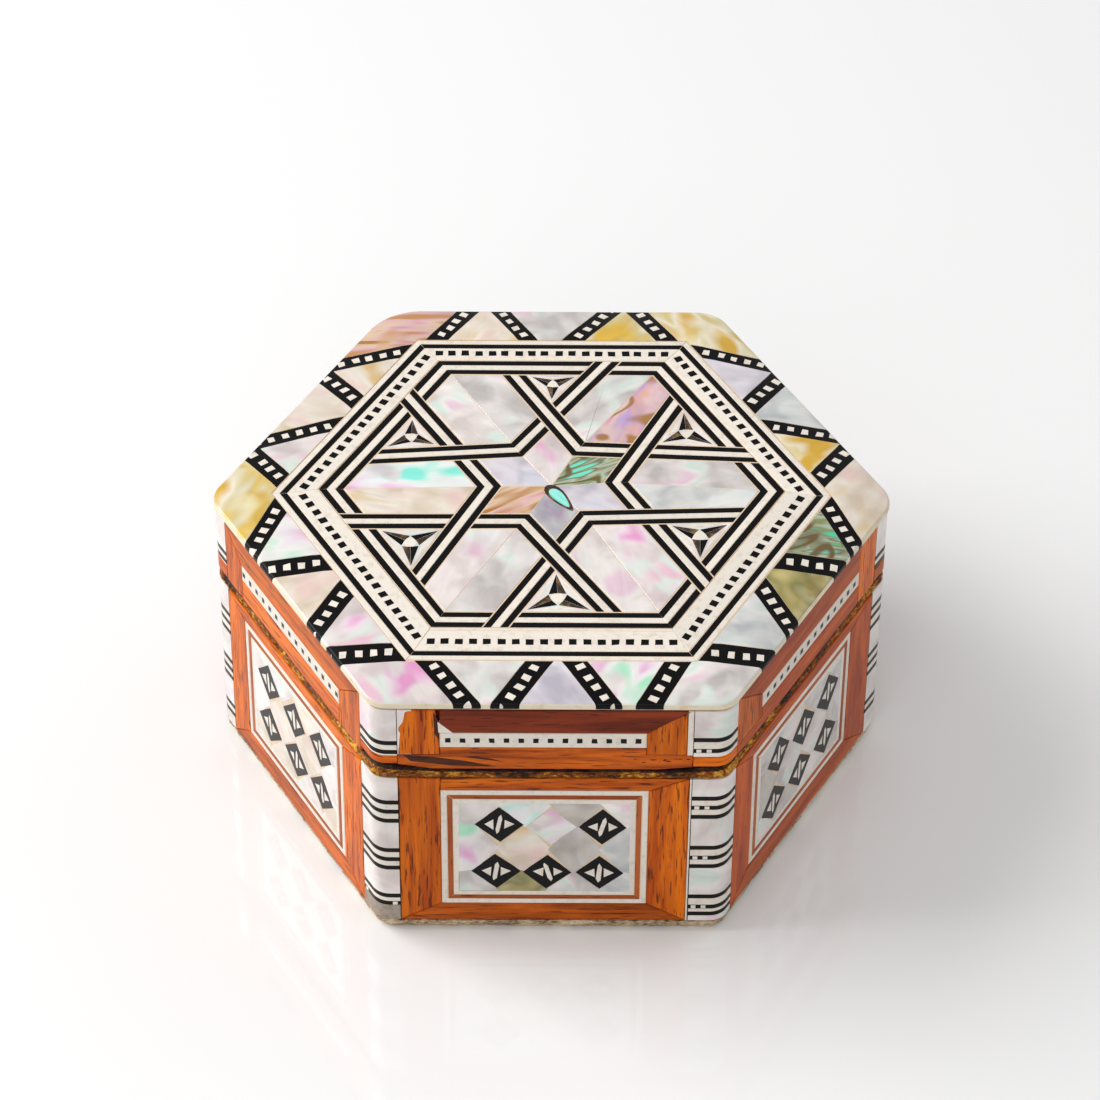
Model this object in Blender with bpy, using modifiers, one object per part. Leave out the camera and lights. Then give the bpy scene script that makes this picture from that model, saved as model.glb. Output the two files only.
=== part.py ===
"""Inlaid hexagonal trinket box with a loose lid, in metres, +Z up.

The origin is the middle of the underside. A flat side faces -Y, and two corners lie on the X axis.
The body is two hollow wooden carcasses. Wooden frames, inlaid panels and pearl corner blocks face
their sides, and a plate of inlay covers the lid. A thin joint of mastic is left open between all of
them. The faced pieces are made oversize and then sanded to one common outline.
"""

import math

import bmesh
import bpy
from mathutils import Matrix

# Whole box
ACROSS_FLATS = 0.0890
BASE_HEIGHT = 0.0340
LID_HEIGHT = 0.0144
JOINT = 0.0003

# Wooden carcasses
WALL = 0.0042
FLOOR = 0.0024
LID_DECK = 0.0028
LIP_HEIGHT = 0.0030
LIP_THICKNESS = 0.0018
LID_CLEARANCE = 0.0004
RIM_BAND = 0.0014
RIM_EDGE = 0.0004
RIM_SLOPE = 0.0012
LID_STRIP = 0.0026
BOARD_THICKNESS = 0.0022
BOARD_CHAMFER = 0.0012
LID_CHAMFER = 0.0005

# Facing of the sides
SIDE_VENEER = 0.0015
BASE_POST = 0.0061
BASE_RAIL_TOP = 0.0023
BASE_RAIL_LOW = 0.0036
LID_POST = 0.0064
LID_RAIL_LOW = 0.0013
DOT_STRIP_HEIGHT = 0.0030

# Inlaid top. Its bands and its star are laid a little towards the back, by hand.
TOP_PLATE = 0.0028
BORDER_WIDTH = 0.0080
DOTTED_FRAME_WIDTH = 0.0061
BAND_WIDTH = 0.0030
STAR = 0.0095
BAND_SHIFT = 0.0009
STAR_SHIFT = 0.0023

# Sanding
CORNER_ROUNDING = 0.0030
CORNER_STEPS = 3
TOP_ROUNDING = 0.0009
TOP_STEPS = 2
ROUGH_ALLOWANCE = 0.0010
WELD_DISTANCE = 0.00001

SIDES = ("right_back", "back", "left_back", "left_front", "front", "right_front")
CORNERS = ("right", "back_right", "back_left", "left", "front_left", "front_right")

# Reach of each hand-fitted corner block along the side before it and the side after it
CORNER_REACH = {
    "right": (0.0044, 0.0038),
    "back_right": (0.0036, 0.0036),
    "back_left": (0.0036, 0.0036),
    "left": (0.0038, 0.0040),
    "front_left": (0.0044, 0.0033),
    "front_right": (0.0050, 0.0030),
}

# Worked out from the sizes above
SIXTH_TURN = math.radians(60)
TO_CORNER = 1 / math.cos(SIXTH_TURN / 2)
OUTER = ACROSS_FLATS / 2
HALF_SIDE = OUTER * math.tan(SIXTH_TURN / 2)
ROUGH = OUTER + ROUGH_ALLOWANCE
CARCASS = OUTER - SIDE_VENEER - JOINT
INSIDE = CARCASS - WALL
LIP = INSIDE + LIP_THICKNESS
LID_BOTTOM = BASE_HEIGHT + JOINT
TOP = LID_BOTTOM + LID_HEIGHT
PLATE_BOTTOM = TOP - TOP_PLATE
FACING_BOTTOM = BOARD_THICKNESS + JOINT
FACING_TOP = BASE_HEIGHT - RIM_BAND - JOINT
LID_FACING_BOTTOM = LID_BOTTOM + LID_STRIP + JOINT
LID_FACING_TOP = PLATE_BOTTOM - JOINT
DOTTED_FRAME = OUTER - BORDER_WIDTH
BANDS = DOTTED_FRAME - DOTTED_FRAME_WIDTH
BAND_CORNER = (BANDS - BAND_WIDTH / 2) * TO_CORNER


def clear_scene():
    for obj in list(bpy.data.objects):
        bpy.data.objects.remove(obj, do_unlink=True)


def collection(name):
    found = bpy.data.collections.new(name)
    bpy.context.scene.collection.children.link(found)
    return found


def material(name, colour, roughness):
    made = bpy.data.materials.new(name)
    made.use_nodes = True
    shader = made.node_tree.nodes["Principled BSDF"]
    shader.inputs["Base Color"].default_value = (*colour, 1)
    shader.inputs["Roughness"].default_value = roughness
    shader.inputs["Metallic"].default_value = 0
    return made


clear_scene()
BOX = collection("inlaid_hexagonal_box")
CUTTERS = collection("cutters")
WOOD = material("varnished_wood", (0.48, 0.15, 0.03), 0.35)
RAW_WOOD = material("raw_wood", (0.42, 0.24, 0.08), 0.6)
PEARL = material("mother_of_pearl", (0.80, 0.76, 0.72), 0.2)
BONE = material("bone", (0.82, 0.78, 0.68), 0.35)
BLACK = material("black_inlay", (0.02, 0.018, 0.02), 0.3)


def corner_point(index, radius):
    """The point at this radius from the axis, towards a corner. Half an index points at a side."""
    angle = index * SIXTH_TURN
    return radius * math.cos(angle), radius * math.sin(angle)


def shifted(point, shift):
    return point[0], point[1] + shift


def hexagon(apothem, shift=0):
    """A hexagon with flats at this distance from its middle, moved towards the back by a shift."""
    return [shifted(corner_point(i, apothem * TO_CORNER), shift) for i in range(6)]


def side_point(side, along, apothem):
    """A point in plan on a line parallel to a side, counted along it from the side's middle."""
    angle = (side + 0.5) * SIXTH_TURN
    x = apothem * math.cos(angle) - along * math.sin(angle)
    y = apothem * math.sin(angle) + along * math.cos(angle)
    return x, y


def inset(outline, distance):
    """An outline that runs anticlockwise, with every edge moved inwards."""
    made = []
    for i, (x, y) in enumerate(outline):
        before = outline[i - 1]
        after = outline[(i + 1) % len(outline)]
        first = math.atan2(y - before[1], x - before[0])
        second = math.atan2(after[1] - y, after[0] - x)
        middle = (math.pi - (second - first)) / 2
        reach = distance / math.sin(middle)
        made.append((x + reach * math.cos(second + middle), y + reach * math.sin(second + middle)))
    return made


def rectangle(left, right, bottom, top):
    return [(left, bottom), (right, bottom), (right, top), (left, top)]


def flat_piece(name, outlines, thickness, finish):
    """A flat piece from its outline and the outlines of its holes, its middle plane at local zero."""
    curve = bpy.data.curves.new(name, "CURVE")
    curve.dimensions = "2D"
    curve.fill_mode = "BOTH"
    curve.extrude = thickness / 2
    for outline in outlines:
        spline = curve.splines.new("POLY")
        spline.points.add(len(outline) - 1)
        for point, (x, y) in zip(spline.points, outline):
            point.co = (x, y, 0, 1)
        spline.use_cyclic_u = True
    curve.materials.append(finish)
    piece = bpy.data.objects.new(name, curve)
    BOX.objects.link(piece)
    return piece


def to_mesh(piece):
    """Replaces a curve object with a closed mesh object of the same name."""
    bpy.context.view_layer.update()
    graph = bpy.context.evaluated_depsgraph_get()
    mesh = bpy.data.meshes.new_from_object(piece.evaluated_get(graph))
    shape = bmesh.new()
    shape.from_mesh(mesh)
    bmesh.ops.remove_doubles(shape, verts=shape.verts, dist=WELD_DISTANCE)
    bmesh.ops.recalc_face_normals(shape, faces=shape.faces)
    shape.to_mesh(mesh)
    shape.free()
    name = piece.name
    place = piece.matrix_world.copy()
    bpy.data.objects.remove(piece)
    made = bpy.data.objects.new(name, mesh)
    made.matrix_world = place
    BOX.objects.link(made)
    return made


def sand(piece):
    """Cuts a piece that was left oversize back to the common outline of the box."""
    cut = piece.modifiers.new("sanded", "BOOLEAN")
    cut.operation = "INTERSECT"
    cut.object = SANDED_BLOCK
    return piece


def on_top(name, outlines, finish, allowance=0):
    """A piece of the lid's inlaid plate, seen in plan."""
    piece = flat_piece(name, outlines, TOP_PLATE + allowance, finish)
    piece.location.z = PLATE_BOTTOM + (TOP_PLATE + allowance) / 2
    return piece


def on_side(name, side, outlines, finish):
    """A facing of one side: outlines are along the side and up. It is left oversize and sanded."""
    thickness = SIDE_VENEER + ROUGH_ALLOWANCE
    piece = flat_piece(name, outlines, thickness, finish)
    angle = (side + 0.5) * SIXTH_TURN
    depth = ROUGH - thickness / 2
    piece.location = (depth * math.cos(angle), depth * math.sin(angle), 0)
    piece.rotation_euler = (math.pi / 2, 0, angle + math.pi / 2)
    return sand(to_mesh(piece))


def turned_hexagon(name, profile, finish):
    """A six-sided piece turned from a profile of (distance of the flats from the axis, height)."""
    mesh = bpy.data.meshes.new(name)
    points = [(flat * TO_CORNER, 0, height) for flat, height in profile]
    edges = [(i, i + 1) for i in range(len(points) - 1)]
    mesh.from_pydata(points, edges, [])
    mesh.materials.append(finish)
    piece = bpy.data.objects.new(name, mesh)
    BOX.objects.link(piece)
    screw = piece.modifiers.new("six sides", "SCREW")
    screw.steps = 6
    screw.render_steps = 6
    screw.use_merge_vertices = True
    screw.merge_threshold = WELD_DISTANCE
    screw.use_smooth_shade = False
    return piece


def bevel_where(shape, chosen, offset, segments):
    edges = [edge for edge in shape.edges if chosen(edge)]
    bmesh.ops.bevel(shape, geom=edges, offset=offset, segments=segments, profile=0.5, affect="EDGES")


def sanded_block():
    """The common outline that the faced box is sanded to: rounded corners and a rounded top edge."""
    shape = bmesh.new()
    bottom = -ROUGH_ALLOWANCE
    height = TOP - bottom
    radius = OUTER * TO_CORNER
    place = Matrix.Translation((0, 0, bottom + height / 2)) @ Matrix.Rotation(SIXTH_TURN / 2, 4, "Z")
    bmesh.ops.create_cone(
        shape, cap_ends=True, segments=6, radius1=radius, radius2=radius, depth=height, matrix=place
    )

    def upright(edge):
        return abs(edge.verts[0].co.z - edge.verts[1].co.z) > height / 2

    def along_top(edge):
        return min(edge.verts[0].co.z, edge.verts[1].co.z) > TOP - JOINT

    bevel_where(shape, upright, CORNER_ROUNDING * math.tan(SIXTH_TURN / 2), CORNER_STEPS)
    bevel_where(shape, along_top, TOP_ROUNDING, TOP_STEPS)
    mesh = bpy.data.meshes.new("sanded_outline")
    shape.to_mesh(mesh)
    shape.free()
    block = bpy.data.objects.new("sanded_outline", mesh)
    block.hide_render = True
    block.display_type = "WIRE"
    CUTTERS.objects.link(block)
    return block


SANDED_BLOCK = sanded_block()


def base_body():
    """The base's carcass, with its lip and sloping rim, and the board under it.

    Slopes run on past the side of the box, and sanding cuts them back to it.
    """
    floor_top = FACING_BOTTOM + FLOOR
    rim_foot = BASE_HEIGHT - RIM_BAND
    slope_end = OUTER + RIM_SLOPE * RIM_EDGE / (RIM_BAND - RIM_EDGE)
    carcass = turned_hexagon(
        "base_carcass",
        [
            (0, floor_top),
            (INSIDE, floor_top),
            (INSIDE, BASE_HEIGHT + LIP_HEIGHT),
            (LIP, BASE_HEIGHT + LIP_HEIGHT),
            (LIP, BASE_HEIGHT),
            (OUTER - RIM_SLOPE, BASE_HEIGHT),
            (slope_end, rim_foot),
            (CARCASS, rim_foot),
            (CARCASS, FACING_BOTTOM),
            (0, FACING_BOTTOM),
        ],
        RAW_WOOD,
    )
    sand(carcass)
    board = turned_hexagon(
        "bottom_board",
        [
            (0, BOARD_THICKNESS),
            (OUTER - BOARD_CHAMFER + BOARD_THICKNESS, BOARD_THICKNESS),
            (OUTER - BOARD_CHAMFER, 0),
            (0, 0),
        ],
        RAW_WOOD,
    )
    sand(board)


def lid_body():
    """The lid's carcass, rebated over the base's lip, with the wooden strip along its lower edge."""
    rebate = LIP + LID_CLEARANCE
    rebate_top = BASE_HEIGHT + LIP_HEIGHT + LID_CLEARANCE
    deck_top = PLATE_BOTTOM - JOINT
    carcass = turned_hexagon(
        "lid_carcass",
        [
            (0, deck_top),
            (CARCASS, deck_top),
            (CARCASS, LID_BOTTOM + LID_STRIP),
            (OUTER - LID_CHAMFER + LID_STRIP, LID_BOTTOM + LID_STRIP),
            (OUTER - LID_CHAMFER, LID_BOTTOM),
            (rebate, LID_BOTTOM),
            (rebate, rebate_top),
            (INSIDE, rebate_top),
            (INSIDE, deck_top - LID_DECK),
            (0, deck_top - LID_DECK),
        ],
        WOOD,
    )
    sand(carcass)


def frame_and_panel(side, part, post, low, high, rails, panel_name, panel_finish):
    """One side's mitred frame between its corner blocks, and the panel set in it."""
    here = CORNERS[side]
    beyond = CORNERS[(side + 1) % 6]
    left = -HALF_SIDE + CORNER_REACH[here][1] + JOINT / 2
    right = HALF_SIDE - CORNER_REACH[beyond][0] - JOINT / 2
    rail_low, rail_top = rails
    panel = rectangle(left + post, right - post, low + rail_low, high - rail_top)
    opening = inset(panel, -JOINT)
    on_side(f"{part}_frame_{SIDES[side]}", side, [rectangle(left, right, low, high), opening], WOOD)
    on_side(f"{panel_name}_{SIDES[side]}", side, [panel], panel_finish)


def corner_block(corner, part, low, high):
    """A block of pearl bent round a corner, as far as its reach along both sides."""
    before = (corner - 1) % 6
    reach_before, reach_after = CORNER_REACH[CORNERS[corner]]
    end_before = HALF_SIDE - reach_before + JOINT / 2
    end_after = -HALF_SIDE + reach_after - JOINT / 2
    back = OUTER - SIDE_VENEER
    outline = [
        side_point(before, end_before, back),
        side_point(before, end_before, ROUGH),
        corner_point(corner, ROUGH * TO_CORNER),
        side_point(corner, end_after, ROUGH),
        side_point(corner, end_after, back),
        corner_point(corner, back * TO_CORNER),
    ]
    piece = flat_piece(f"{part}_corner_{CORNERS[corner]}", [outline], high - low, PEARL)
    piece.location.z = (low + high) / 2
    sand(to_mesh(piece))


def side_facings():
    dot_rails = (LID_RAIL_LOW, LID_FACING_TOP - LID_FACING_BOTTOM - LID_RAIL_LOW - DOT_STRIP_HEIGHT)
    base_rails = (BASE_RAIL_LOW, BASE_RAIL_TOP)
    for i in range(6):
        frame_and_panel(i, "base", BASE_POST, FACING_BOTTOM, FACING_TOP, base_rails, "base_panel", PEARL)
        frame_and_panel(
            i, "lid", LID_POST, LID_FACING_BOTTOM, LID_FACING_TOP, dot_rails, "lid_dot_strip", BONE
        )
        corner_block(i, "base", FACING_BOTTOM, FACING_TOP)
        corner_block(i, "lid", LID_FACING_BOTTOM, LID_FACING_TOP)


def border(side):
    """The field between the dotted frame and the lid's edge, along one side."""
    outline = [
        corner_point(side, DOTTED_FRAME * TO_CORNER),
        corner_point(side, ROUGH * TO_CORNER),
        corner_point(side + 1, ROUGH * TO_CORNER),
        corner_point(side + 1, DOTTED_FRAME * TO_CORNER),
    ]
    piece = on_top(f"top_border_{SIDES[side]}", [inset(outline, JOINT / 2)], PEARL, ROUGH_ALLOWANCE)
    sand(to_mesh(piece))


def band_corner(corner):
    return shifted(corner_point(corner, BAND_CORNER), BAND_SHIFT)


def star_corner(corner):
    return shifted(corner_point(corner, STAR), STAR_SHIFT)


def star_tip(side):
    return shifted(corner_point(side + 0.5, STAR * math.sqrt(3)), STAR_SHIFT)


def band_meets_frame(corner, towards):
    """Where a band beside the long cell of this corner meets the frame's band, before or after it.

    The band starts at the neighbouring corner of the star and runs parallel to the long cell.
    """
    x, y = star_corner(corner + towards)
    along = corner_point(corner, 1)
    first = band_corner(corner)
    second = band_corner(corner + towards)
    side = (second[0] - first[0], second[1] - first[1])
    across = along[0] * side[1] - along[1] * side[0]
    reach = ((first[0] - x) * side[1] - (first[1] - y) * side[0]) / across
    return x + reach * along[0], y + reach * along[1]


def star_openings():
    """Centre lines of the bands around each long cell, each triangle and the star in the middle."""
    cells = []
    triangles = []
    star = []
    for i in range(6):
        cells.append(
            [
                star_corner(i),
                star_tip(i - 1),
                band_meets_frame(i, -1),
                band_corner(i),
                band_meets_frame(i, 1),
                star_tip(i),
            ]
        )
        triangles.append([star_tip(i), band_meets_frame(i, 1), band_meets_frame(i + 1, -1)])
        star += [star_corner(i), star_tip(i)]
    return cells, triangles, star


def inlaid_top():
    for i in range(6):
        border(i)
    frame = [hexagon(DOTTED_FRAME - JOINT / 2), hexagon(BANDS + JOINT / 2, BAND_SHIFT)]
    on_top("top_dotted_frame", frame, BONE)
    cells, triangles, star = star_openings()
    band_edge = BAND_WIDTH / 2 - JOINT / 2
    holes = [inset(outline, band_edge) for outline in (*cells, *triangles, star)]
    on_top("top_star_bands", [hexagon(BANDS - JOINT / 2, BAND_SHIFT), *holes], BLACK)
    tile_edge = BAND_WIDTH / 2 + JOINT / 2
    for i in range(6):
        on_top(f"top_cell_{CORNERS[i]}", [inset(cells[i], tile_edge)], PEARL)
        on_top(f"top_triangle_{SIDES[i]}", [inset(triangles[i], tile_edge)], BONE)
    on_top("top_star", [inset(star, tile_edge)], PEARL)


base_body()
lid_body()
side_facings()
inlaid_top()
bpy.context.view_layer.update()
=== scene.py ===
"""Looks of an inlaid hexagonal trinket box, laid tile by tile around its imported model.

Sizes are in millimetres and turned into metres once, where a mesh is written. The sides are counted
anticlockwise from the one at the right and back, and the corners from the right-hand one.
"""

from __future__ import annotations

import logging
import math
import random
from collections.abc import Callable, Sequence
from dataclasses import dataclass, field, replace
from enum import Enum
from functools import cache
from typing import ClassVar

import bmesh
import bpy
from mathutils import Matrix, Vector, noise

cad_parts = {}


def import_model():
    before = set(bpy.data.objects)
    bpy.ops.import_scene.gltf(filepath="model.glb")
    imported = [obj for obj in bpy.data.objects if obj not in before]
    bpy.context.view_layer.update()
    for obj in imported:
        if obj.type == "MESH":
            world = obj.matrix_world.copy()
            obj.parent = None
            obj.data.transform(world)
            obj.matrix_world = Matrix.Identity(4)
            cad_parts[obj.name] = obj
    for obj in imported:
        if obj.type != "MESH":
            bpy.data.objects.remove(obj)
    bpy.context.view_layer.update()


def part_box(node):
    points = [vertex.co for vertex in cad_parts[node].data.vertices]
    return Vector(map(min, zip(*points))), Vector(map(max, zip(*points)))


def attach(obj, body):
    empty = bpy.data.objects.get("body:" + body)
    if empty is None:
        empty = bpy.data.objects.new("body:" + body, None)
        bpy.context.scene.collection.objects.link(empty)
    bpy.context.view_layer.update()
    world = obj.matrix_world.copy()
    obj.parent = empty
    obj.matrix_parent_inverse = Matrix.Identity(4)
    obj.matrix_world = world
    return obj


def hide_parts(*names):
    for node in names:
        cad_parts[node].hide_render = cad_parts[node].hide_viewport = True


LOG = logging.getLogger("inlaid_box")

Point = tuple[float, float]
Route = Sequence[tuple[Point, float]]
Plane = tuple[Vector, Vector]
Placing = Callable[[float, float, float], Vector]
Socket = bpy.types.NodeSocket

MM = 0.001
BODY = "root"

SIDES = ("right_back", "back", "left_back", "left_front", "front", "right_front")
CORNERS = ("right", "back_right", "back_left", "left", "front_left", "front_right")
FRONT = 4
AROUND = ((-1, -1), (1, -1), (1, 1), (-1, 1))

# Hand work: how far the eased edges of tiles go, the mastic line around them, how deep the bed and the
# tiles lie, how far apart the stocks are cut, from where on an edge counts as the rim, and what is merged
EASE = 0.05
FINE_EASE = 0.02
MASTIC_LINE = 0.22
BED_DEPTH = 0.05
TILE_DEPTH = 0.6
VENEER = 1.42
PANEL_BED = 1.4
STOCK_SPREAD = 300
RIM_REACH = 43
TOUCHING = 1e-4
MERGED = 0.002
SMOOTH_BELOW = math.radians(32)

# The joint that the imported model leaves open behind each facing
OPEN_JOINT = 0.3


def linear(code: str) -> tuple[float, float, float, float]:
    """Turns an sRGB colour into the linear values that a shader takes.

    Args:
        code: The colour as hex digits after a hash.

    Returns:
        Red, green, blue and a full alpha.
    """
    parts = [int(code[i : i + 2], 16) / 255 for i in (1, 3, 5)]
    red, green, blue = (c / 12.92 if c <= 0.04045 else ((c + 0.055) / 1.055) ** 2.4 for c in parts)
    return red, green, blue, 1.0


def add_node(
    tree: bpy.types.NodeTree,
    kind: str,
    settings: dict[str, object],
    inputs: dict[str | int, object],
    stops: Sequence[tuple[float, str]] = (),
) -> bpy.types.Node:
    """Adds one shader node with its settings and links.

    Args:
        tree: The node tree that it goes into.
        kind: The node's type name, without the word that all of them start with.
        settings: Properties of the node itself.
        inputs: What its inputs hold, by name or number: a constant, or the socket to read.
        stops: Places and colours of a colour ramp, its two ends first.

    Returns:
        The new node.
    """
    node = tree.nodes.new("ShaderNode" + kind)
    for name, setting in settings.items():
        setattr(node, name, setting)
    for name, value in inputs.items():
        if isinstance(value, Socket):
            tree.links.new(value, node.inputs[name])
        else:
            node.inputs[name].default_value = value
    for i, (place, code) in enumerate(stops):
        element = node.color_ramp.elements[i] if i < 2 else node.color_ramp.elements.new(place)
        element.position = place
        element.color = linear(code)
    return node


@dataclass(frozen=True)
class Layer:
    """A noise in a stock: the size of its patches along and across the grain, and how they break up.

    The fourth coordinate sets a noise apart from others of its kind.
    """

    along: float
    across: float
    detail: float = 2.0
    roughness: float = 0.5
    distortion: float = 0.0
    fourth: float = 0.0


@dataclass(frozen=True)
class Finish:
    """A finish, read in the millimetres of the stock that each tile was sawn from."""

    name: str

    # Brightness of the darkest and lightest lot, then the bump's strength and depth, and if it is sunk
    TONES: ClassVar[Point] = (1.0, 1.0)
    BUMP: ClassVar[tuple[float, float, bool]]

    def layers(self) -> tuple[Layer, ...]:
        """The noises that it is painted from."""
        raise NotImplementedError

    def paint(self, tree: bpy.types.NodeTree, noises: Sequence[Socket]) -> tuple[Socket, Socket]:
        """Mixes its colour from its noises, and returns that and the height of its surface."""
        raise NotImplementedError

    def surface(self) -> tuple[float, float, float, float]:
        """Its roughness and specular level, and the weight and roughness of its varnish or polish."""
        raise NotImplementedError

    def material(self) -> bpy.types.Material:
        """Makes the material of this finish, with each tile toned by the lot that it came from.

        Returns:
            The new material.
        """
        made = bpy.data.materials.new(self.name)
        made.use_nodes = True
        tree = made.node_tree
        shader = tree.nodes["Principled BSDF"]
        blank, lot = (add_node(tree, "Attribute", {"attribute_name": name}, {}) for name in ("blank", "lot"))
        noises = []
        for layer in self.layers():
            scale = (1 / layer.along, 1 / layer.across, 1 / layer.across)
            place = add_node(tree, "Mapping", {}, {"Scale": scale, "Vector": blank.outputs["Vector"]})
            inputs = {"Detail": layer.detail, "Roughness": layer.roughness, "Distortion": layer.distortion}
            inputs |= {"Scale": 1.0, "Vector": place.outputs["Vector"]}
            inputs |= {"W": layer.fourth} if layer.fourth else {}
            kind = {"noise_dimensions": "4D" if layer.fourth else "3D"}
            noises.append(add_node(tree, "TexNoise", kind, inputs).outputs["Fac"])
        colour, height = self.paint(tree, noises)
        low, high = self.TONES
        tone = add_node(tree, "MapRange", {}, {"To Min": low, "To Max": high, "Value": lot.outputs["Fac"]})
        toned = add_node(tree, "HueSaturation", {}, {"Value": tone.outputs["Result"], "Color": colour})
        tree.links.new(toned.outputs["Color"], shader.inputs["Base Color"])
        strength, depth, sunk = self.BUMP
        inputs = {"Strength": strength, "Distance": depth * MM, "Height": height}
        bump = add_node(tree, "Bump", {"invert": sunk}, inputs)
        tree.links.new(bump.outputs["Normal"], shader.inputs["Normal"])
        sockets = ("Roughness", "Specular IOR Level", "Coat Weight", "Coat Roughness")
        for name, value in zip(sockets, self.surface()):
            shader.inputs[name].default_value = value
        return made


@dataclass(frozen=True)
class Wood(Finish):
    """Hardwood veneer, planed and varnished: long figure, short dark pores and a satin gloss over them."""

    light: str
    dark: str
    pore: str
    pore_share: float
    figure_length: float = 26.0
    figure_width: float = 2.4
    TONES: ClassVar[Point] = (0.84, 1.12)
    BUMP: ClassVar[tuple[float, float, bool]] = (0.35, 0.04, True)

    def layers(self) -> tuple[Layer, ...]:
        """The figure and the pores, which are drawn a few times as wide as real ones so that they show."""
        return Layer(self.figure_length, self.figure_width, 5.0, 0.62, 0.5), Layer(4.4, 0.34)

    def paint(self, tree: bpy.types.NodeTree, noises: Sequence[Socket]) -> tuple[Socket, Socket]:
        """Lays the figure and the pores along the tile's own grain.

        Args:
            tree: The node tree.
            noises: The figure and the pores.

        Returns:
            The colour, and the depth of the pores.
        """
        figure, pores = noises
        stops = ((0.34, self.dark), (0.62, self.light))
        colour = add_node(tree, "ValToRGB", {}, {"Fac": figure}, stops).outputs["Color"]
        span = {"From Min": self.pore_share, "From Max": self.pore_share + 0.09, "To Max": 0.8}
        share = add_node(tree, "MapRange", {}, {**span, "Value": pores}).outputs["Result"]
        inputs = {0: share, 6: colour, 7: linear(self.pore)}
        return add_node(tree, "Mix", {"data_type": "RGBA"}, inputs).outputs[2], share

    def surface(self) -> tuple[float, float, float, float]:
        """A thin satin varnish."""
        return 0.38, 0.12, 0.03, 0.12


@dataclass(frozen=True)
class RoughWood(Finish):
    """Sawn wood under old varnish that has dried in drops: torn grain from dark brown to honey."""

    dark: str
    middle: str
    light: str
    crumb: float = 0.42
    roughness: float = 0.42
    BUMP: ClassVar[tuple[float, float, bool]] = (0.9, 0.12, False)

    def layers(self) -> tuple[Layer, ...]:
        """The crumbs of torn grain, and patches where the varnish is darker."""
        return Layer(self.crumb / 0.45, self.crumb, 6.0, 0.7), Layer(self.crumb * 14, self.crumb * 14)

    def paint(self, tree: bpy.types.NodeTree, noises: Sequence[Socket]) -> tuple[Socket, Socket]:
        """Breaks the colour into crumbs.

        Args:
            tree: The node tree.
            noises: The crumbs and the patches.

        Returns:
            The colour, and the height of the crumbs.
        """
        crumbs, patches = noises
        both = add_node(tree, "Mix", {"data_type": "FLOAT"}, {0: 0.38, 2: crumbs, 3: patches}).outputs[0]
        stops = ((0.40, self.dark), (0.62, self.light), (0.51, self.middle))
        return add_node(tree, "ValToRGB", {}, {"Fac": both}, stops).outputs["Color"], crumbs

    def surface(self) -> tuple[float, float, float, float]:
        """Bare but for the dried drops."""
        return self.roughness, 0.2, 0.0, 0.03


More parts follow.
